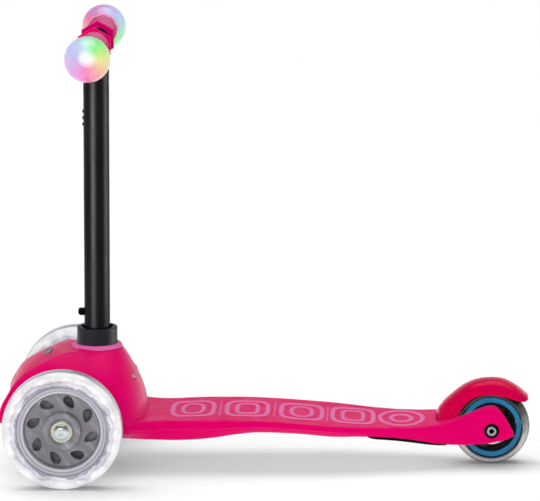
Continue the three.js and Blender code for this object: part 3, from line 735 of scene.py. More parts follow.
def blue_ring():
    """Scuffed blue plastic of the rear wheel's band."""
    m = Surface("blue_plastic", Coat_Weight=0.1, Specular_IOR_Level=0.3)
    wear = m.noise(120, 6, 0.7)
    m.colour(m.ramp(m.spread(wear, 0, 1, 0.3, 0.75), [
        (0.0, (0.004, 0.13, 0.29)), (0.5, (0.005, 0.19, 0.39)), (0.85, (0.01, 0.26, 0.50)),
        (1.0, (0.10, 0.42, 0.62))]))
    return m.finish(worn=(200, 3, 0.22, 0.4), grain=(500, 3, 0.00005, 0.5))


def powder_coat():
    """Satin black powder coat: fine orange peel and faint handling marks."""
    m = Surface("powder_coat", Specular_IOR_Level=0.05)
    cloud = m.spread(m.noise(24, 5), 0, 1, 0.35, 0.7)
    m.colour(m.mix(cloud, (0.0006, 0.0006, 0.0008), (0.0014, 0.0013, 0.0017)))
    return m.finish(worn=(70, 5, 0.26, 0.40, 0.3, 0.7), grain=(1400, 2, 0.00003, 0.5))


def grip_rubber():
    """Soft matt rubber, a little uneven in colour."""
    m = Surface("grip_rubber", Specular_IOR_Level=0.35)
    m.colour(m.mix(m.spread(m.noise(50, 5), 0, 1, 0.3, 0.7), (0.97, 0.33, 0.57), (1.0, 0.38, 0.61)))
    return m.finish(worn=(180, 4, 0.58, 0.75, 0.3, 0.7), grain=(2600, 2, 0.00006, 0.7))


def rainbow_ball(name, centre, start):
    """Milky plastic lit from inside, its colour turning round the bar and fading to white at the end."""
    m = Surface(f"rainbow_ball_{name}", Coat_Weight=0.25, Subsurface_Weight=0.2)
    heart = centre + Vector((0.7, 0, 4.4)) * MM                 # the lamp shows a little above the pole
    x, _, z = about(m, heart)
    turn = maths(m, "ADD", maths(m, "ARCTAN2", z, x), start + math.pi)
    share = maths(m, "FRACT", maths(m, "MULTIPLY", turn, 0.5 / math.pi))
    wheel = m.ramp(share, [
        (0.0, (0.50, 0.41, 0.68)), (0.14, (0.58, 0.25, 0.54)), (0.25, (0.72, 0.17, 0.38)),
        (0.36, (0.76, 0.36, 0.28)), (0.46, (0.76, 0.66, 0.27)), (0.54, (0.48, 0.77, 0.24)),
        (0.64, (0.20, 0.77, 0.22)), (0.76, (0.40, 0.68, 0.56)), (0.88, (0.46, 0.54, 0.78)),
        (1.0, (0.50, 0.41, 0.68))])
    reach = maths(m, "ADD", wheel_radius(m, heart), m.spread(m.noise(60, 3), -1.5, 1.5))
    m.glow(m.mix(m.spread(reach, 0.0, 1.0, 0.5, 10.0), (0.95, 0.95, 0.95), wheel), 0.3)
    return m.finish(worn=(200, 3, 0.2, 0.35), grain=(300, 2, 0.00004, 0.4))


def soft_white():
    """Milky lamp ring."""
    m = Surface("lamp_white")
    m.glow(m.mix(m.noise(300, 3), (0.8, 0.8, 0.86), (0.95, 0.95, 0.98)), 0.5)
    m.worn(200, 3, 0.3, 0.5)
    return m.material


# Dark finish for the shell's inner faces: painted shade.
shaded_inside = moulded("shaded_inside", (0.05, 0.035, 0.04), (0.08, 0.05, 0.06), 0.6)
fender_magenta = moulded("magenta_fender", (0.72, 0.0, 0.07), (0.86, 0.02, 0.16), 0.22, grain=0.00001,
                         specular=0.5)
socket_black = moulded("socket_black", BLACK, BLACK_LIGHT, 0.34, specular=0.22)
core_back = hub_shade()
web_plastic = moulded("web_plastic", (0.27, 0.25, 0.30), (0.5, 0.48, 0.53), 0.3)
flange_pink = moulded("flange_magenta", (0.92, 0.0, 0.19), (0.98, 0.15, 0.34), 0.5)
pad_rubber = rubber("pad_rubber", (0.015, 0.015, 0.016))
# Darker pink for the grip's dashes: painted shade along them.
dash_rubber = rubber("dash_rubber", (0.66, 0.06, 0.21))
tube_coat = powder_coat()
lamp_white = soft_white()
bright_zinc = metal("bright_zinc", (0.62, 0.68, 0.70), 0.2)
cap_steel = metal("cap_steel", (0.36, 0.36, 0.40), 0.16)
yellow_zinc = metal("yellow_zinc", (0.72, 0.68, 0.42), 0.3)


# ------------------------------------------------------------ front shell

SHELL_FLOOR = 56.3
SHELL_X = 10.0                       # the shell's sections are measured about this line
SHELL_WALL = 3.0
CROWN = 122.8

# Reach behind SHELL_X, and half width, at each height.
REAR_REACH = [(SHELL_FLOOR, 68.4), (64, 67.4), (72, 65.8), (80, 63.6), (89, 60.3), (99, 55.8),
              (109, 50.8), (116, 46.4), (120.5, 43.6), (CROWN, 41.5)]
HALF_WIDTH = [(SHELL_FLOOR, 74.5), (63, 74.2), (71, 73), (80, 70.6), (88.6, 66.8), (97, 61.4),
              (105, 54.5), (112, 46.4), (117.6, 38), (121.2, 31), (CROWN, 25.5)]
NOSE_WIDTH = [(SHELL_FLOOR, 66), (63, 65), (75, 62), (86.5, 57), (97, 50), (106, 43.5), (112, 39),
              (118, 33), (CROWN, 28)]

# Distance from (SHELL_X, SHELL_FLOOR) to the front, by angle up from straight ahead: along the middle, and
# along the ridges on both sides of it.
NOSE_MIDDLE = [(0, 72.5), (8, 73), (14, 72.6), (19, 71.4), (24, 72.6), (30, 73.6), (38, 73), (50, 70.4),
               (62, 67.4), (70, 66.6), (80, 66.6), (90, 66.5)]
NOSE_RIDGE = [(0, 77.5), (6, 78.5), (14, 77), (22, 74.4), (30, 72.4), (38, 69.6), (50, 65.6), (62, 64.4),
              (70, 64.8), (80, 66), (90, 66.5)]
RIDGE_HALF = [(0, 66), (6, 65.5), (25, 58), (38, 51), (50, 45), (62, 40), (70, 35), (80, 30), (90, 27)]
RIDGE_SHARPNESS = 44
CROWN_SHARPNESS = 40


def column(table, value):
    """Smooth lookup in a table of (value, result) rows."""
    points = [Vector(row) for row in table]
    curve = spline(points, 6)
    return np.interp(value, [p.x for p in curve], [p.y for p in curve])


def shell_measure(x, y, z):
    """Below 1 inside the shell and above 1 outside it, for arrays of points."""
    ahead = SHELL_X - x
    lift = z - SHELL_FLOOR
    wide = np.abs(y)
    half = column(HALF_WIDTH, z)

    power = np.interp(z, (SHELL_FLOOR, 80, 112, CROWN), (3.0, 2.7, 2.1, 2.0))
    rear = (np.abs(ahead / column(REAR_REACH, z)) ** power + (wide / half) ** power) ** (1 / power)

    angle = np.degrees(np.arctan2(lift, np.maximum(ahead, 1e-6)))
    middle_reach, ridge_reach = column(NOSE_MIDDLE, angle), column(NOSE_RIDGE, angle)
    share = np.clip(wide / column(RIDGE_HALF, angle), 0, 1.3)
    nose = np.hypot(ahead, lift) / (middle_reach + (ridge_reach - middle_reach) * share**2)
    begin = np.interp(z, (82, 106), (35, 8))
    narrowing = np.clip((ahead - begin) / np.interp(z, (82, 106), (30, 40)), 0, 1)
    narrowing = narrowing**2 * (3 - 2 * narrowing)
    flank = wide / (half + (column(NOSE_WIDTH, z) - half) * narrowing)
    front = (nose**RIDGE_SHARPNESS + flank**RIDGE_SHARPNESS) ** (1 / RIDGE_SHARPNESS)

    top = lift / (CROWN - SHELL_FLOOR)
    body = np.where(ahead > 0, front, rear)
    return (body**CROWN_SHARPNESS + top**CROWN_SHARPNESS) ** (1 / CROWN_SHARPNESS)


def shell_surface():
    """Rows of points on the shell's skin, found along rays from its heart by halving."""
    around, lifts = 216, 84
    turn, lift = np.meshgrid(2 * math.pi * np.arange(around) / around,
                             0.5 * math.pi * np.arange(lifts + 1) / lifts)
    ways = (np.cos(turn) * np.cos(lift), np.sin(turn) * np.cos(lift), np.sin(lift))
    near, far = np.full(turn.shape, 10.0), np.full(turn.shape, 140.0)

    def spots(reach):
        return SHELL_X + ways[0] * reach, ways[1] * reach, SHELL_FLOOR + ways[2] * reach

    for _ in range(26):
        half = (near + far) / 2
        inside = shell_measure(*spots(half)) < 1
        near, far = np.where(inside, half, near), np.where(inside, far, half)
    x, y, z = spots(near)
    return [[at(x[v, u], y[v, u], z[v, u]) for u in range(around)] for v in range(lifts + 1)]


def front_shell():
    """Thin moulded body with wheel arches, screw holes and a mouth for the socket, its inside darkened as
    painted shade.
    """
    rows = shell_surface()
    points, faces = grid(rows[:-1], close_u=True)
    top = len(points)
    points.append(rows[-1][0])
    last = len(rows) - 2
    count = len(rows[0])
    faces += [(last * count + u, last * count + (u + 1) % count, top) for u in range(count)]
    shell = build("front_shell_skin", points, faces, magenta)
    thicken(shell, SHELL_WALL)
    arch_r, arch_half = 33, 14
    tools = []
    for side in SIDES.values():
        tools.append(bore_tool(arch_r, -arch_half, arch_half, at(-4, side * 74, 57)))
        screw = bore_tool(4.2, -3, 3, Vector(), "Z", 24)
        screw.data.transform(shell_screw_place(side))
        tools.append(screw)
    tools.append(bore_tool(21.1, 90, 140, at(COLLAR_X, 0, 0), "Z"))
    carve(shell, tools, angle=40)
    # Inner faces take the dark material: painted shade inside the shell.
    shell.data.materials.append(shaded_inside)
    heart = at(SHELL_X, 0, 70)
    for face in shell.data.polygons:
        if face.normal.dot(face.center - heart) < 0:
            face.material_index = 1
    finished(shell, "chassis", "front_shell")


def shell_screw_place(side):
    """Where a shell screw sits on the rear slope, with +Z pointing out of the shell."""
    y, z, slope = 20, 94.4, 66
    spot = at(SHELL_X + rear_skin(y, z), side * y, z)
    return Matrix.Translation(spot) @ Matrix.Rotation(math.radians(slope), 4, "Y")


def rear_skin(y, z):
    """Distance from SHELL_X back to the skin at a given y and z."""
    near, far = 0.0, 90.0
    for _ in range(30):
        half = (near + far) / 2
        inside = shell_measure(*(np.array([v]) for v in (SHELL_X + half, y, z)))[0] < 1
        near, far = (half, far) if inside else (near, half)
    return near


def shell_screws():
    """Pan-head screws on the rear slope, each with a recess in its head."""
    for name, side in SIDES.items():
        head = [(0, -0.6), (1.1, -0.6), (1.5, 0.6), (2.6, 0.5), (3.3, -0.2), (3.4, -1.2), (1.6, -1.6),
                (1.6, -8), (0, -8)]
        screw = turned(f"screw_{name}", head, Vector(), zinc, "Z", 32)
        screw.data.transform(shell_screw_place(side))
        finished(screw, "chassis", f"shell_screw_{name}")


def front_badge():
    """Blank raised oval plate with a rounded edge, tilted to lie on the front band."""
    rows = []
    half_x, half_y = 5.5, 13
    profile = ((0, 0.5), (0.5, 0.5), (0.8, 0.45), (0.88, 0.8), (0.96, 0.75), (1.0, 0.4), (1.0, -0.6))
    for reach, height in profile:
        rows.append([Vector((half_x * reach * math.cos(t), half_y * reach * math.sin(t), height))
                     for t in turns(64)])
    points, faces = grid(rows, close_u=True)
    tilt = Matrix.Rotation(-math.radians(24), 4, "Y")
    badge = build("badge", [at(-22.0, 0, 115.6) + (tilt @ p) * MM for p in points], faces, badge_metal)
    finished(badge, "chassis", "front_badge")


def collar_ring():
    """Light ring that seals the shell against the black socket."""
    corners = [(20.7, 121.5, 0.2), (25.4, 121.5, 0.6), (25.2, 123.6, 0.9), (23.2, 125.2, 1.0),
               (20.7, 125.5, 0.3)]
    line = closed(rounded(corners, 0.8, 5, close=True))
    ring = turned("seal_ring", line, at(COLLAR_X, 0, 0), pink, "Z")
    finished(ring, "chassis", "collar_ring")


# ------------------------------------------------------------ deck

SLOT_HALF = 18.5                     # half width between the fork arms
FRAME_BOLT = (-2, 30)                # X and reach to each side of the steering frame's bolts
SOCKET_BOLT_X = 27.5

# The deck's top, belly, half width at its rim and half width at its foot, along X.
deck_top = graph([(-48, 47), (-44, 47.5), (-40, 48), (10, 52), (24, 55.8), (40, 56), (72, 55.6), (90, 55.2),
                  (112, 55.4), (135, 56), (172, 56), (200, 55.1), (232, 52.8), (266, 50), (300, 47.5),
                  (330, 46), (355, 46), (368, 47), (380, 48.2), (390, 50.8), (405, 56.6), (415, 61),
                  (421, 63), (426, 63.8), (430, 63.4), (433.4, 61.4), (438, 56), (443.4, 47.5),
                  (449.5, 35.5)])
deck_belly = graph([(-48, 45.5), (-44, 43), (-30, 39), (0, 36.2), (57, 36), (77, 34.8), (94, 34.2),
                    (112, 34), (134, 35.2), (149, 36.9), (169, 40), (188, 42.2), (214, 41.9), (235, 40.9),
                    (255, 39), (268, 37.8), (300, 37.4), (330, 35), (350, 31.8), (375, 26.4),
                    (395, 24.6), (415, 25), (436, 28), (449.5, 33.5)])
deck_half = graph([(-48, 34), (-44, 44), (-38, 48), (40, 48.5), (52, 57), (60, 65), (68, 61), (80, 54.5),
                   (92, 52), (104, 51.6), (120, 53), (180, 54), (250, 54.6), (270, 54), (295, 49.5),
                   (312, 45.5), (330, 42.8), (350, 40.4), (368, 36), (386, 31.2), (402, 29),
                   (420, 28.5), (450, 28.5)])
deck_foot = graph([(-48, 30), (-30, 42), (60, 46), (90, 46), (120, 46.5), (180, 47), (250, 48),
                   (300, 45.5), (330, 42), (350, 38.6), (368, 34.4), (386, 29.6), (402, 27.6),
                   (420, 27), (450, 27.4)])


def deck_section(x):
    """Half section of the deck, from the middle of the top round to the middle of the belly."""
    top, low, half = deck_top(x), deck_belly(x), deck_half(x)
    tall = top - low
    edge = min(2.2, tall * 0.2)
    # The crease along the flank fades in behind the shell and out before the tail.
    crease = max(0.0, min(1.0, (322 - x) / 70)) * min(1.0, max(0.0, (x - 50) / 20))
    waist = top - min(8.5, tall * 0.45)
    step = 1.3 * crease
    foot = deck_foot(x)
    corners = [(0, top, 0), (half, top, edge), (half + 0.2, waist, 0.8), (half - step, waist - 0.9, 0.6),
               (half - step - 0.4, waist - 1 - tall * 0.1, 4), (foot, low, crease + 1.8), (0, low, 0)]
    return resample(rounded(corners, 2, 6), 64)


def deck_body():
    """The deck lofted along its length, from the nose under the shell to the tips of the fork."""
    stations = [-48 + 4 * i for i in range(14)] + [8 + 2 * i for i in range(206)]
    stations += [420 + 0.75 * i for i in range(40)]
    rows = []
    for x in sorted(set(stations)):
        rows.append([at(x, p.x, p.y) for p in mirrored(deck_section(x))])
    return skin("deck_moulding", rows, deck_magenta, 30, close_u=True, caps=True)


def deck():
    """Deck with its wheel slot, brake notch, axle recesses, bolt holes and a ribbed underside."""
    body = deck_body()
    axle = at(WHEELBASE, 0, REAR_R)
    tools = [
        bore_tool(44, -SLOT_HALF, SLOT_HALF, axle),
        prism(box_loop(420, 470, -SLOT_HALF, SLOT_HALF, 1), 0, 90),
        prism(box_loop(370.8, 400, -SLOT_HALF, SLOT_HALF, 4), 33.5, 70),
    ]
    recess = [(0, 25.5), (7.6, 25.5), (7.9, 26), (7.9, 27.9), (8.4, 28.5), (9.0, 31), (0, 31)]
    for side in SIDES.values():
        tools.append(turned("recess", recess, axle, None, side=side, segments=64))
        tools.append(bore_tool(6.5, 30, 39.5, at(FRAME_BOLT[0], side * FRAME_BOLT[1], 0), "Z", 32))
    tools.append(bore_tool(8, 30, 42, at(SOCKET_BOLT_X, 0, 0), "Z", 32))
    tools.append(prism(box_loop(-60, 13.5, -60, 60), 44, 60))
    tools += underside_pockets()
    carve(body, tools, angle=30)
    wall = SLOT_HALF + 0.5
    boss = [(4.3, 11.6), (7, 11.6), (8, 12.6), (9.4, wall), (4.3, wall)]
    bosses = [turned("boss", boss, axle, deck_magenta, side=side, segments=48) for side in SIDES.values()]
    whole = combine("deck_moulded", [body, *bosses])
    finished(whole, "chassis", "deck")


def underside_pockets():
    """Shallow pockets that leave ribs across the belly."""
    length, rib, depth = 22, 4, 3.5
    tools = []
    for i in range(9):
        front = 64 + (length + rib) * i
        back = front + length
        floor = max(deck_belly(front), deck_belly(back))
        for side in SIDES.values():
            ends = (side * 3, side * (min(deck_half(front), deck_half(back)) - 12))
            tools.append(prism(box_loop(front, back, min(ends), max(ends), 3), 20, floor + depth))
    return tools


def underside_plate():
    """Thin black cover under the tail that thins out under the fork's arms."""
    thickness = graph([(302, 0.3), (307, 1.9), (335, 2.5), (355, 2.3), (370, 1.4), (381.5, 0.4)])
    plates = []
    for inner, first, last in ((0, 302, 368), (SLOT_HALF + 0.3, 364, 381.5)):
        for side in SIDES.values():
            rows = []
            for i in range(25):
                x = first + (last - first) * i / 24
                high = deck_belly(x) + 0.6
                low = deck_belly(x) - thickness(x)
                outer = deck_foot(x) + 0.6
                corners = [(inner, high), (outer, high), (outer - 0.6, low), (inner, low)]
                rows.append([at(x, side * p.x, p.y) for p in rounded(corners, 0.5, 3, close=True)])
            plates.append(skin("cover", rows, black, close_u=True, caps=True))
    cover = combine("tail_cover", plates)
    finished(cover, "chassis", "underside_plate")


# ------------------------------------------------------------ deck pattern


def band(middle_x, half_x, half_y, stroke, power=2.0):
    """A raised ribbon round a superellipse on the deck's top."""
    edge = ((0, -0.6), (0, 0.3), (0.35, 0.55), (stroke - 0.35, 0.55), (stroke, 0.3), (stroke, -0.6))
    rows = []
    for t in turns(72):
        ux = math.copysign(abs(math.cos(t)) ** (2 / power), math.cos(t))
        uy = math.copysign(abs(math.sin(t)) ** (2 / power), math.sin(t))
        row = []
        for reach, lift in edge:
            x = middle_x + (half_x - reach) * ux
            row.append(at(x, (half_y - reach) * uy, deck_top(x) + lift))
        rows.append(row)
    return skin("band", rows, pattern_pink, 40, close_v=True)


def dot(x, y, radius):
    """A low raised pip on the deck's top."""
    rows = [[at(x + a, y + b, deck_top(x) + h) for a, b in circle(radius * share, 16)]
            for share, h in ((1, -0.5), (1, 0.3), (0.8, 0.5), (0.01, 0.55))]
    return skin("dot", rows, pattern_pink, 40, close_u=True)


def deck_pattern():
    """Raised grip pattern: nested ovals, with rows of dots between them."""
    parts = []
    stroke = 4.6
    for i, x in enumerate((125, 180, 235, 287)):
        parts.append(band(x, 23, 33, stroke, power=4))
        parts.append(band(x, 12.5, 22.5, stroke * 0.9, power=4 if i % 2 else 2.4))
    parts.append(band(336, 24, 33, stroke))
    parts.append(band(336, 12.5, 17, stroke * 0.95))
    for x in (152.5, 207.5, 261):
        for n in range(9):
            parts.append(dot(x, -28 + 7 * n, 1.3))
    pattern = combine("deck_pattern", parts)
    finished(pattern, "chassis")


# ------------------------------------------------------------ wheels

BORE = 4.3                           # radius of the hole through bearings and washers
TYRE_HALF = 12                       # half the width of every tyre


def side_plate(centre, side, out=0):
    """Stands a flat plate up about a centre, with its height pointing out of that side of the scooter."""
    return lambda a, b, h: centre + Vector((a * side, (out + h) * side, b)) * MM


def tyre_profile(bore, radius, half, shoulder, tread):
    """Closed section of a cast tyre: flat sides and a rounded tread, flat over a share of its width."""
    corners = [(bore, -half, 0.6), (radius - shoulder, -half, 3), (radius, -half * tread, 9),
               (radius, half * tread, 9), (radius - shoulder, half, 3), (bore, half, 0.6)]
    return closed(rounded(corners, 2, 7, close=True))


def teardrops(count, radius, long, short, tilt, start):
    """Slanted teardrop holes spaced round a hub."""
    holes = []
    for i in range(count):
        turn = 2 * math.pi * (i + start) / count
        hole = []
        for t in turns(28):
            a, b = spun(long * math.cos(t), short * math.sin(t) * (1 + 0.32 * math.cos(t)), tilt)
            hole.append(spun(a + radius, b, turn))
        holes.append(hole)
    return holes


def scallop(lobes, depth, inner, outer):
    """Radius factor that waves the rim between two radii."""
    def shape(phi, r):
        weight = max(0.0, min(1.0, (r - inner) / (outer - inner)))
        return 1 + weight * depth * (abs(math.cos(lobes * phi / 2)) - 0.5) / r
    return shape


def front_hub(name, side, centre):
    """Smoked hub: a disc with slanted holes between a deep rim and a boss for the bearings."""
    smoke = smoked_plastic(name, centre)
    holes = teardrops(8, 29.2, 6.9, 4.2, math.radians(-48), 0.33)
    disc = cut_plate("disc", circle(38.4, 96), holes, 3.4, 1.2, side_plate(centre, side), smoke)
    rim_face = [(36.6, 3.2, 1.5), (38.8, 9.4, 1), (40.2, 10.8, 0.6), (41.4, 10.4, 0.5), (42.2, 11.6, 0.5),
                (44.9, 11.4, 1.0)]
    boss_face = [(11.3, 10.4, 0.2), (12.2, 10.4, 0.6), (13.4, 11.5, 0.6), (17.6, 11.5, 1), (19, 10.8, 1.2),
                 (19.6, 3)]
    rim_line = rounded(closed(both_faces(rim_face)), 0.8, 4)
    rim = turned("rim", rim_line, centre, smoke, side=side, segments=144)
    boss_line = closed(rounded(both_faces(boss_face), 0.8, 4))
    boss = turned("boss", boss_line, centre, smoke, side=side)
    hub = combine(f"hub_{name}", [disc, rim, boss])
    finished(hub, f"front_wheel_{name}", f"front_core_{name}")


def front_wheel(name, side):
    """Glowing tyre on a smoked hub, with its lamp ring, bearings and axle bolt."""
    centre = Vector((AXLE.x, -AXLE.y * side, AXLE.z))
    body = f"front_wheel_{name}"
    tyre_line = tyre_profile(45.2, FRONT_R, TYRE_HALF, 5, 0.62)
    tyre = turned(f"cast_tyre_{name}", tyre_line, centre, glow_tyre(name, centre), side=side, segments=128)
    finished(tyre, body, f"front_tyre_{name}")
    front_hub(name, side, centre)

    # Dark ring behind the disc: painted shade seen through the hub's holes.
    back_line = closed(box_loop(19.4, 37, -4.6, -3.4, 0.3, 3))
    back = turned(f"core_back_{name}", back_line, centre, core_back, side=side)
    finished(back, body)
    web_line = closed([(44.6, -10.6), (47.0, -10.2), (47.6, 0), (47.0, 10.2), (44.6, 10.6)])
    web = turned(f"inner_web_{name}", web_line, centre, web_plastic, side=side, segments=192,
                 shape=scallop(24, 3.0, 44.7, 46.5))
    finished(web, body)
    glow_line = closed(box_loop(35, 38, -10, -3.3, 0.8, 3))
    glow = turned(f"lamp_ring_{name}", glow_line, centre, lamp_white, side=side)
    finished(glow, body, f"led_ring_{name}")
    for place, out in (("outer", 1), ("inner", -1)):
        bearing(f"{place}_bearing_{name}", body, centre, side * out)
    axle_parts(name, side, centre)


def bearing(node, body, centre, side):
    """Shielded ball bearing: outer race, recessed shield with a rolled edge, and inner race."""
    low, high = 4.3, 11.3
    profile = closed([(BORE, low), (11, low), (11, high - 0.3), (10.7, high), (9.3, high),
                      (9.1, high - 0.5), (7.0, high - 0.6), (6.6, high - 0.3), (6.4, high), (4.5, high),
                      (BORE, high - 0.2)])
    piece = turned(f"race_{node}", profile, centre, zinc, side=side, segments=72)
    finished(piece, body, node)


def axle_parts(name, side, centre):
    """Domed axle bolt and its washer, which stay with the knuckle."""
    knuckle = f"knuckle_{name}"
    head = rounded([(0, 16.6), (1.5, 16.6, 0.5), (2.4, 17.2, 0.6), (5.2, 16.7, 2), (8.2, 14.7, 2),
                    (8.5, 12.9, 0.3), (4, 12.9, 0), (4, -29, 0.4), (0, -29)], 0.4, 5)
    bolt = turned(f"axle_cap_{name}", head, centre, bright_zinc, side=side, segments=72)
    finished(bolt, knuckle, f"axle_bolt_{name}")
    disc = closed(box_loop(BORE, 9.8, 11.6, 12.6, 0.3, 3))
    washer = turned(f"washer_{name}", disc, centre, yellow_zinc, side=side, segments=72)
    finished(washer, knuckle, f"axle_washer_{name}")


def rear_windows():
    """Five openings between the rear core's spokes."""
    windows = []
    for start in turns(5):
        arc = [start + 0.44 * (k / 6 - 1) for k in range(13)]
        outer = [spun(21.2, 0, t) for t in arc]
        inner = [spun(15.0, 0, t) for t in reversed(arc)]
        windows.append(rounded([*outer, *inner], 0.6, 2, close=True))
    return windows


def rear_wheel():
    """Clear tyre with a blue band, on a black spoked core."""
    centre = REAR_AXLE
    tyre_line = tyre_profile(31, REAR_R, TYRE_HALF, 5, 0.36)
    tyre = turned("rear_cast_tyre", tyre_line, centre, rear_clear(centre), segments=112)
    finished(tyre, "rear_wheel", "rear_tyre")
    band_line = rounded([(25.3, -10), (30.7, -10.4), (30.7, 10.4), (25.3, 10)], 0.9, 4, close=True)
    ring = turned("blue_band", closed(band_line), centre, blue_ring(), segments=112)
    finished(ring, "rear_wheel", "rear_band")

    spokes = cut_plate("spokes", circle(22.6, 72), rear_windows(), 3.2, 0.8, side_plate(centre, 1), black)
    rim_line = closed(both_faces([(25, 9), (22.8, 9), (22, 8.4)]))
    rim = turned("rear_rim", rim_line, centre, black)
    hub_line = closed(both_faces([(11.3, 11.4), (13, 11.4), (14, 10.6), (14.4, 3)]))
    hub = turned("rear_hub", hub_line, centre, black, segments=72)
    core = combine("rear_spoked_core", [spokes, rim, hub])
    finished(core, "rear_wheel", "rear_core")
    for name, side in SIDES.items():
        bearing(f"rear_bearing_{name}", "rear_wheel", centre, side)
    rear_axle(centre)


def rear_axle(centre):
    """Dark cap bolt with a six-sided socket, sunk in the fork over a black bed that paints the recess's
    shade, and its nut on the far side.
    """
    seat, middle_out = 25.8, 1.5
    left, right = (side_plate(centre, side, seat + middle_out) for side in SIDES.values())
    head = cut_plate("head", circle(4.9, 64), [circle(2.6, 6)], 1.3, 0.6, left, cap_steel)
    # Black bed in the fork's recess round the head: painted shade.
    shade_bed_line = [(0, seat), (7.2, seat), (7.5, seat + 0.5), (7.0, seat + 0.9), (5.6, seat + 1.0),
                (5.2, seat + 0.5), (0, seat + 0.5)]
    shade_bed = turned("rear_bolt_bed", shade_bed_line, centre, black, side=-1)
    finished(shade_bed, "chassis")
    shank = turned("shank", [(0, -seat - 0.3), (4, -seat - 0.3), (4, seat), (0, seat)], centre, cap_steel)
    bolt = combine("rear_cap_bolt", [head, shank])
    finished(bolt, "chassis", "rear_axle_bolt")
    nut = cut_plate("rear_lock_nut", circle(6.3, 6), [circle(4.2, 32)], 1.5, 0.5, right, dark_steel)
    finished(nut, "chassis", "rear_axle_nut")


# ------------------------------------------------------------ brake

# The fender's upper and lower edges in the middle plane, from its foot to its tail.
FENDER_OUTER = [(374.4, 44), (372.8, 50), (374.5, 56.4), (379.8, 63.4), (388.3, 71.2), (396.9, 77.8),
                (404.6, 82.2), (412.3, 85), (419.5, 86.5), (427, 87), (434, 86.6), (440.5, 85.2),
                (449.5, 80.9), (455.8, 76.4), (460.8, 72.2), (463.8, 69.4), (463.9, 67.8)]
FENDER_INNER = [(386, 40), (388, 43), (390.4, 47.6), (392.6, 52), (395.2, 56.4), (398, 60.4),
                (401.4, 64.4), (407, 69), (413, 71.8), (420, 73.1), (427, 73.2), (434, 72.5), (441, 71),
                (447, 69.4), (453, 67.6), (458, 66.4), (461, 66.4), (463, 67.2)]
FENDER_HALF = 17.5
LINING_R = 44.3                      # radius of the fender's roof over the wheel
PAD_R = 44                           # outer radius of the brake pad


def fender_stations():
    """Matching points on the fender's outer and inner edges."""
    count = 80
    outer = resample(spline(FENDER_OUTER, 8), count)
    inner = resample(spline(FENDER_INNER, 8), count)
    return list(zip(outer, inner))


def fender_section(outer, inner, share):
    """Closed section across the fender at one station, as (y, distance from the inner edge) points."""
    tall = (outer - inner).length
    hub = Vector((WHEELBASE, REAR_R))
    near, far = (inner - hub).length, (outer - hub).length
    roof = tall * min(max(0.06, (LINING_R - near) / max(far - near, 1)), 0.82)
    tail = math.sqrt(max(0.02, 1 - max(0.0, (share - 0.9) / 0.1) ** 2))     # the last tenth narrows
    half = FENDER_HALF * (0.7 + 0.3 * tail)
    shoulder = 0.14                                                         # where its flank ends
    lining_line = rounded([(0, roof, 0), (half - 4.3, roof, 1.6), (half - 2.9, 0.6, 0.6),
                           (half - 2.3, 0, 0.6), (half - 0.6, 0, 1.0), (half, tall * shoulder, 0)], 1, 6)
    dome = []
    for k in range(1, 19):
        across, rise = max(0.0, math.cos(math.radians(5 * k))), math.sin(math.radians(5 * k))
        height = tall * (shoulder + (1 - shoulder) * rise**0.8) + rise
        dome.append(Vector((half * across**0.8, height)))
    return resample([*lining_line, *dome], 64)


def brake_fender():
    """Foot brake: a domed fender with studs along its back and ribs at its foot."""
    rows = []
    stations = fender_stations()
    for i, (outer, inner) in enumerate(stations):
        way = (outer - inner).normalized()
        loop = mirrored(fender_section(outer, inner, i / (len(stations) - 1)))
        rows.append([at(inner.x + way.x * p.y, p.x, inner.y + way.y * p.y) for p in loop])
    fender = skin("fender_skin", rows, fender_magenta, 42, close_u=True, caps=True)
    whole = combine("fender", [fender, *fender_studs(), *fender_steps()])
    finished(whole, "brake", "brake_fender")


def fender_top(share):
    """Point and outward direction on the fender's back, at a share of its length."""
    stations = fender_stations()
    spot = share * (len(stations) - 1)
    i = min(int(spot), len(stations) - 2)
    here = stations[i][0].lerp(stations[i + 1][0], spot - i)
    along = (stations[i + 1][0] - stations[i][0]).normalized()
    return here, Vector((-along.y, along.x))


def fender_studs():
    """Small domes that give a heel some grip."""
    studs = []
    for row in range(14):
        here, out = fender_top(0.40 + 0.036 * row)
        normal = Vector((out.x, 0, out.y))
        along = Vector((-out.y, 0, out.x))
        for n in range(-2, 3) if row % 2 else (-1.5, -0.5, 0.5, 1.5):
            y = 4.6 * n
            sink = 1.2 * (abs(y) / 10) ** 3                                 # follows the dome's fall
            base = at(here.x - out.x * sink, y, here.y - out.y * sink)
            rows = [[base + (normal * h + along * a + Vector((0, b, 0))) * MM for a, b in circle(r, 12)]
                    for r, h in ((1.7, -0.6), (1.45, 0.25), (1.05, 0.7), (0.5, 0.95), (0.02, 1.0))]
            studs.append(skin("stud", rows, fender_magenta, 60, close_u=True))
    return studs


def fender_steps():
    """Three ribs across the foot of the fender."""
    ribs = []
    for n in range(3):
        here, out = fender_top(0.075 + 0.045 * n)
        loop = rounded([(-0.8, -1), (-0.5, 0.6), (0.5, 0.6), (0.8, -1)], 0.4, 3, close=True)
        rows = []
        for y, swell in ((-9.5, 0.1), (-8.5, 0.8), (-7, 1), (7, 1), (8.5, 0.8), (9.5, 0.1)):
            rows.append([at(here.x + out.x * p.y * swell - out.y * p.x, y,
                            here.y + out.y * p.y * swell + out.x * p.x) for p in loop])
        ribs.append(skin("rib", rows, fender_magenta, 50, close_u=True, caps=True))
    return ribs


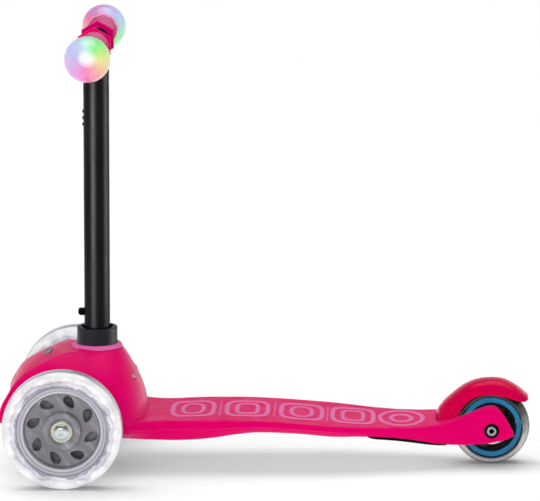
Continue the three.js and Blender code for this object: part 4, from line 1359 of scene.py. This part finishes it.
def brake_pad():
    """Curved rubber shoe with cross grooves, under the fender."""
    rows = []
    for k in range(61):
        turn = math.radians(52 + 56 * k / 60)
        groove = 0.7 if k % 6 == 0 and 0 < k < 60 else 0
        loop = box_loop(PAD_R - 2 + groove, PAD_R, -11, 11, 0.5, 2)
        rows.append([REAR_AXLE + Vector((p.x * math.cos(turn), p.y, p.x * math.sin(turn))) * MM
                     for p in loop])
    pad = skin("brake_shoe", rows, pad_rubber, close_u=True, caps=True)
    finished(pad, "brake", "brake_pad")


# ------------------------------------------------------------ T-bar

FOOT = Vector((at(26.9, 0, 0).x, 0, 0))                      # where the stem's axis meets the ground
BAR_LINE = Vector((BAR.x, 0, BAR.z))
LEAN = (BAR_LINE - FOOT).normalized()
STEM_TURN = Vector((0, 0, 1)).rotation_difference(LEAN).to_matrix().to_4x4()
STEM_R = 13
CROSS_R = 11.5
BUTTON_LEVEL = 157                   # the button's height along the stem


def on_stem(height):
    """Frame position on the stem's axis, in millimetres up from the ground."""
    return FOOT + LEAN * height * MM


def lean(piece):
    """Tips a piece drawn about an upright axis through the stem's foot to the stem's lean."""
    piece.data.transform(Matrix.Translation(FOOT) @ STEM_TURN)
    return piece


def t_bar():
    """Stem and cross tube, welded together, with the button's hole in the front of the stem."""
    level = (BAR_LINE - FOOT).length / MM
    outer = [(STEM_R, 66.4), *((STEM_R, 100 + 6 * k) for k in range(54)), (STEM_R, level)]
    stem_line = [(12.6, 66), *outer, (11.2, level), (11.2, 66), (12.6, 66)]
    stem = lean(turned("stem", stem_line, Vector(), tube_coat, "Z"))
    cross_line = closed(both_faces([(9.7, 96), (10.9, 96), (CROSS_R, 95.4)]))
    cross = turned("cross", cross_line, BAR_LINE, tube_coat)
    weld = weld_bead(level)
    carve(stem, [bore_tool(4.3, -20, -4, on_stem(BUTTON_LEVEL), "X", 32)])
    tube = combine("t_bar", [stem, cross, weld])
    return finished(tube, "t_bar", "t_bar_tube")


def weld_bead(level):
    """Rippled bead where the stem meets the cross tube."""
    rows = []
    for t in turns(160):
        x, y = (STEM_R + 0.1) * math.cos(t), (STEM_R + 0.1) * math.sin(t)
        drop = math.sqrt(max(0.0, CROSS_R**2 - min(x * x, (CROSS_R - 0.1) ** 2)))
        ripple = 0.25 * math.sin(t * 42)
        spot = FOOT + STEM_TURN @ (Vector((x, y, level - drop - 0.4)) * MM)
        out = STEM_TURN @ Vector((math.cos(t), math.sin(t), -0.4)).normalized()
        rows.append([spot + (out * (1.5 + ripple) * math.cos(a) + LEAN * 1.6 * math.sin(a)) * MM
                     for a in turns(8)])
    return skin("weld", rows, tube_coat, 70, close_u=True, close_v=True)


def stem_pips():
    """Three small pips in a row on the front of the stem."""
    profile = [(0, 12.6), (1.9, 12.6), (1.8, 13.3), (1.3, 13.9), (0.6, 14.1), (0, 14.15)]
    pips = [turned("pip", profile, on_stem(height), tube_coat, "X", 24, side=-1)
            for height in (349, 355.5, 362)]
    finished(combine("stem_pips", pips), "t_bar")


def stem_socket():
    """Black socket: thick collar with a rolled rim, and the taper that grips the stem."""
    bore = 13.3
    corners = [(0, 56.8), (16.5, 56.8, 0.5), (16.5, 108, 2), (20.5, 112, 1.5), (20.5, 142, 1.3),
               (15.9, 142, 1.0), (15.5, 134.5, 1), (bore, 130, 1), (bore, 65.8, 0.2), (0, 65.8)]
    socket = lean(turned("socket", rounded(corners, 0.5, 5), Vector(), socket_black, "Z"))
    return finished(socket, "chassis", "stem_socket")


def release_button():
    """Domed snap button with a shoulder behind the tube wall."""
    corners = [(0, 8), (5.6, 8, 0.3), (5.6, 9.2, 0.3), (4.0, 9.2, 0.2), (4.0, 17.0, 1.2), (2.9, 18.9, 1.6),
               (0, 19.5)]
    profile = rounded(corners, 0.3, 6)
    button = turned("snap_button", profile, on_stem(BUTTON_LEVEL), socket_black, "X", 48, side=-1)
    finished(button, "release_button", "release_button")


def button_leaf():
    """Spring strip bent into an upturned U behind the button."""
    front, back = -7.7, 9.4              # faces of its two legs, from the stem's axis
    crown, leaf = 26, 0.8                # height where the bend starts, and the strip's thickness
    mid, radius = (front + back) / 2, (back - front - leaf) / 2
    arch = [(mid - radius * math.cos(t), crown + radius * math.sin(t))
            for t in (math.pi * k / 16 for k in range(17))]
    line = [Vector(p) for p in [(mid - radius, -7), *arch, (mid + radius, -3)]]
    rows = []
    for i, spot in enumerate(line):
        along = (line[min(i + 1, len(line) - 1)] - line[max(i - 1, 0)]).normalized()
        rows.append([on_stem(BUTTON_LEVEL + spot.y - along.x * p.x)
                     + Vector((spot.x + along.y * p.x, p.y, 0)) * MM
                     for p in box_loop(-leaf / 2, leaf / 2, -3.5, 3.5, 0.2, 3)])
    strip = skin("button_leaf", rows, zinc, close_u=True, caps=True)
    flexing(strip, "button_clip")


GRIP_R = 14.1


def grip(name, side):
    """Soft sleeve with rows of raised dashes, a rolled end and a six-sided flange."""
    corners = [(11.7, 23.4), (13.6, 23.4, 0.4), (GRIP_R, 26, 0.6), (GRIP_R, 93.6, 1), (15.5, 94.8, 0.8),
               (15.5, 98, 0.9), (11.7, 98)]
    profile = closed(rounded(corners, 0.6, 5))
    sleeve = turned(f"grip_sleeve_{name}", profile, BAR_LINE, grip_rubber(), side=side)
    finished(sleeve, "t_bar", f"grip_{name}")
    dashes = combine(f"grip_dashes_{name}", grip_dashes(side))
    finished(dashes, "t_bar")

    outline = rounded([(b, a) for a, b in circle(18.7, 6)], 1.2, 4, close=True)
    flange = cut_plate(f"grip_flange_{name}", outline, [circle(11.8, 64)], 1.5, 0.5,
                       side_plate(BAR_LINE, side, 24.5), flange_pink)
    finished(flange, "t_bar")


def grip_dashes(side):
    """Low raised ovals in thirteen staggered rows round the grip, coloured darker as painted shade."""
    dashes = []
    rounds = 9
    for row in range(13):
        y = side * (30 + 5 * row)
        for k in range(rounds):
            turn = 2 * math.pi * (k + 0.5 * (row % 2)) / rounds - 0.05 * row
            loops = []
            for reach, lift in ((1.0, -0.3), (0.9, 0.5), (0.6, 0.8), (0.05, 0.85)):
                loop = []
                for t in turns(14):
                    x, z = spun(0, GRIP_R + lift, -turn - 0.21 * reach * math.sin(t))
                    loop.append(BAR_LINE + Vector((x, y + 1.15 * reach * math.cos(t), z)) * MM)
                loops.append(loop)
            dashes.append(skin("dash", loops, dash_rubber, 60, close_u=True))
    return dashes


def light_ball(name, side):
    """Milky ball with a moulded neck that meets the grip's end."""
    radius, inside, mouth = 22.5, 20.8, 18.2                    # outside, inside, and reach to the neck
    last = math.acos(-mouth / radius)
    outer = [spun(0, radius, -last * k / 40) for k in range(41)]
    inner = [spun(0, inside, -last * k / 24) for k in range(24, -1, -1)]
    centre = Vector((BAR.x, side * 116.5 * MM, BAR.z))
    glow = rainbow_ball(name, centre, 0.0 if side < 0 else 0.62 * math.pi)
    ball = turned(f"ball_{name}", [*outer, *inner], centre, glow, side=side)
    finished(ball, "t_bar", f"light_ball_{name}")
    module_line = [(0, 78), (8.6, 78), (9, 78.4), (9, 111), (8, 112), (5, 112), (4.6, 112.6), (0, 113)]
    module = turned(f"lamp_module_{name}", module_line, BAR_LINE, black, side=side, segments=48)
    finished(module, "t_bar", f"light_module_{name}")


# ------------------------------------------------------------ springs and kept CAD pieces


def flexing(piece, node):
    """Bakes a spring's placement into its mesh and hides the rigid CAD node that it stands in for."""
    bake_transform(piece)
    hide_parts(node)


def steering_spring(name):
    """Coil between the frame's bracket and the tie rod's tab."""
    node = f"steering_spring_{name}"
    low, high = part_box(node)
    wire = 0.8
    radius = (high[0] - low[0]) / MM / 2 - wire
    half = (high[1] - low[1]) / MM / 2 - wire
    windings, steps = 7, 24
    along = Vector((0, 1, 0))
    rows = []
    for k in range(windings * steps + 1):
        share = k / (windings * steps)
        turn = 2 * math.pi * windings * share
        out = Vector((math.cos(turn), 0, math.sin(turn)))
        spot = middle(node) + (out * radius + along * half * (2 * share - 1)) * MM
        rows.append([spot + (out * a + along * b) * MM for a, b in circle(wire, 10)])
    coil = skin(f"return_coil_{name}", rows, zinc, 60, close_u=True, caps=True)
    flexing(coil, node)


def dress(node, material, width=0.25):
    """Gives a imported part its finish, with its sharp edges eased."""
    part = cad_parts[node]
    if not part.data.materials:
        part.data.materials.append(material)
    for slot in part.material_slots:
        slot.material = material
    weld = part.modifiers.new("weld", "WELD")
    weld.merge_threshold = 0.00002
    flat = part.modifiers.new("flat", "DECIMATE")
    flat.decimate_type = "DISSOLVE"
    flat.angle_limit = math.radians(2)
    ease = part.modifiers.new("ease", "BEVEL")
    ease.width = width * MM
    ease.segments = 2
    ease.limit_method = "ANGLE"
    ease.angle_limit = math.radians(40)
    even = part.modifiers.new("even", "WEIGHTED_NORMAL")
    even.keep_sharp = True


def kept_parts():
    """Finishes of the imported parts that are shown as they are."""
    dress("steering_frame", black, 0.5)
    dress("tie_rod", zinc, 0.4)
    for name in SIDES:
        dress(f"knuckle_{name}", black, 0.4)
        dress(f"kingpin_{name}", zinc)
        dress(f"tie_rod_pin_{name}", zinc)
        dress(f"magnet_spacer_{name}", dark_steel)
        dress(f"frame_bolt_{name}", zinc)
    for node in ("socket_bolt", "rear_spacer", "brake_hinge_pin", "brake_spring"):
        dress(node, zinc, 0.15)


# ------------------------------------------------------------ assembly

make_camera()
make_floor()
make_lights()
front_shell()
shell_screws()
front_badge()
collar_ring()
deck()
underside_plate()
deck_pattern()
for which, direction in SIDES.items():
    front_wheel(which, direction)
    grip(which, direction)
    light_ball(which, direction)
    steering_spring(which)
rear_wheel()
brake_fender()
brake_pad()
tube_lights([t_bar(), stem_socket()])
stem_pips()
release_button()
button_leaf()
kept_parts()

# Keeps the paper's shadow free of magenta.
for shaded in ("deck_moulded", "deck_pattern", "tail_cover", "front_shell_skin", "fender"):
    bpy.data.objects[shaded].visible_diffuse = False
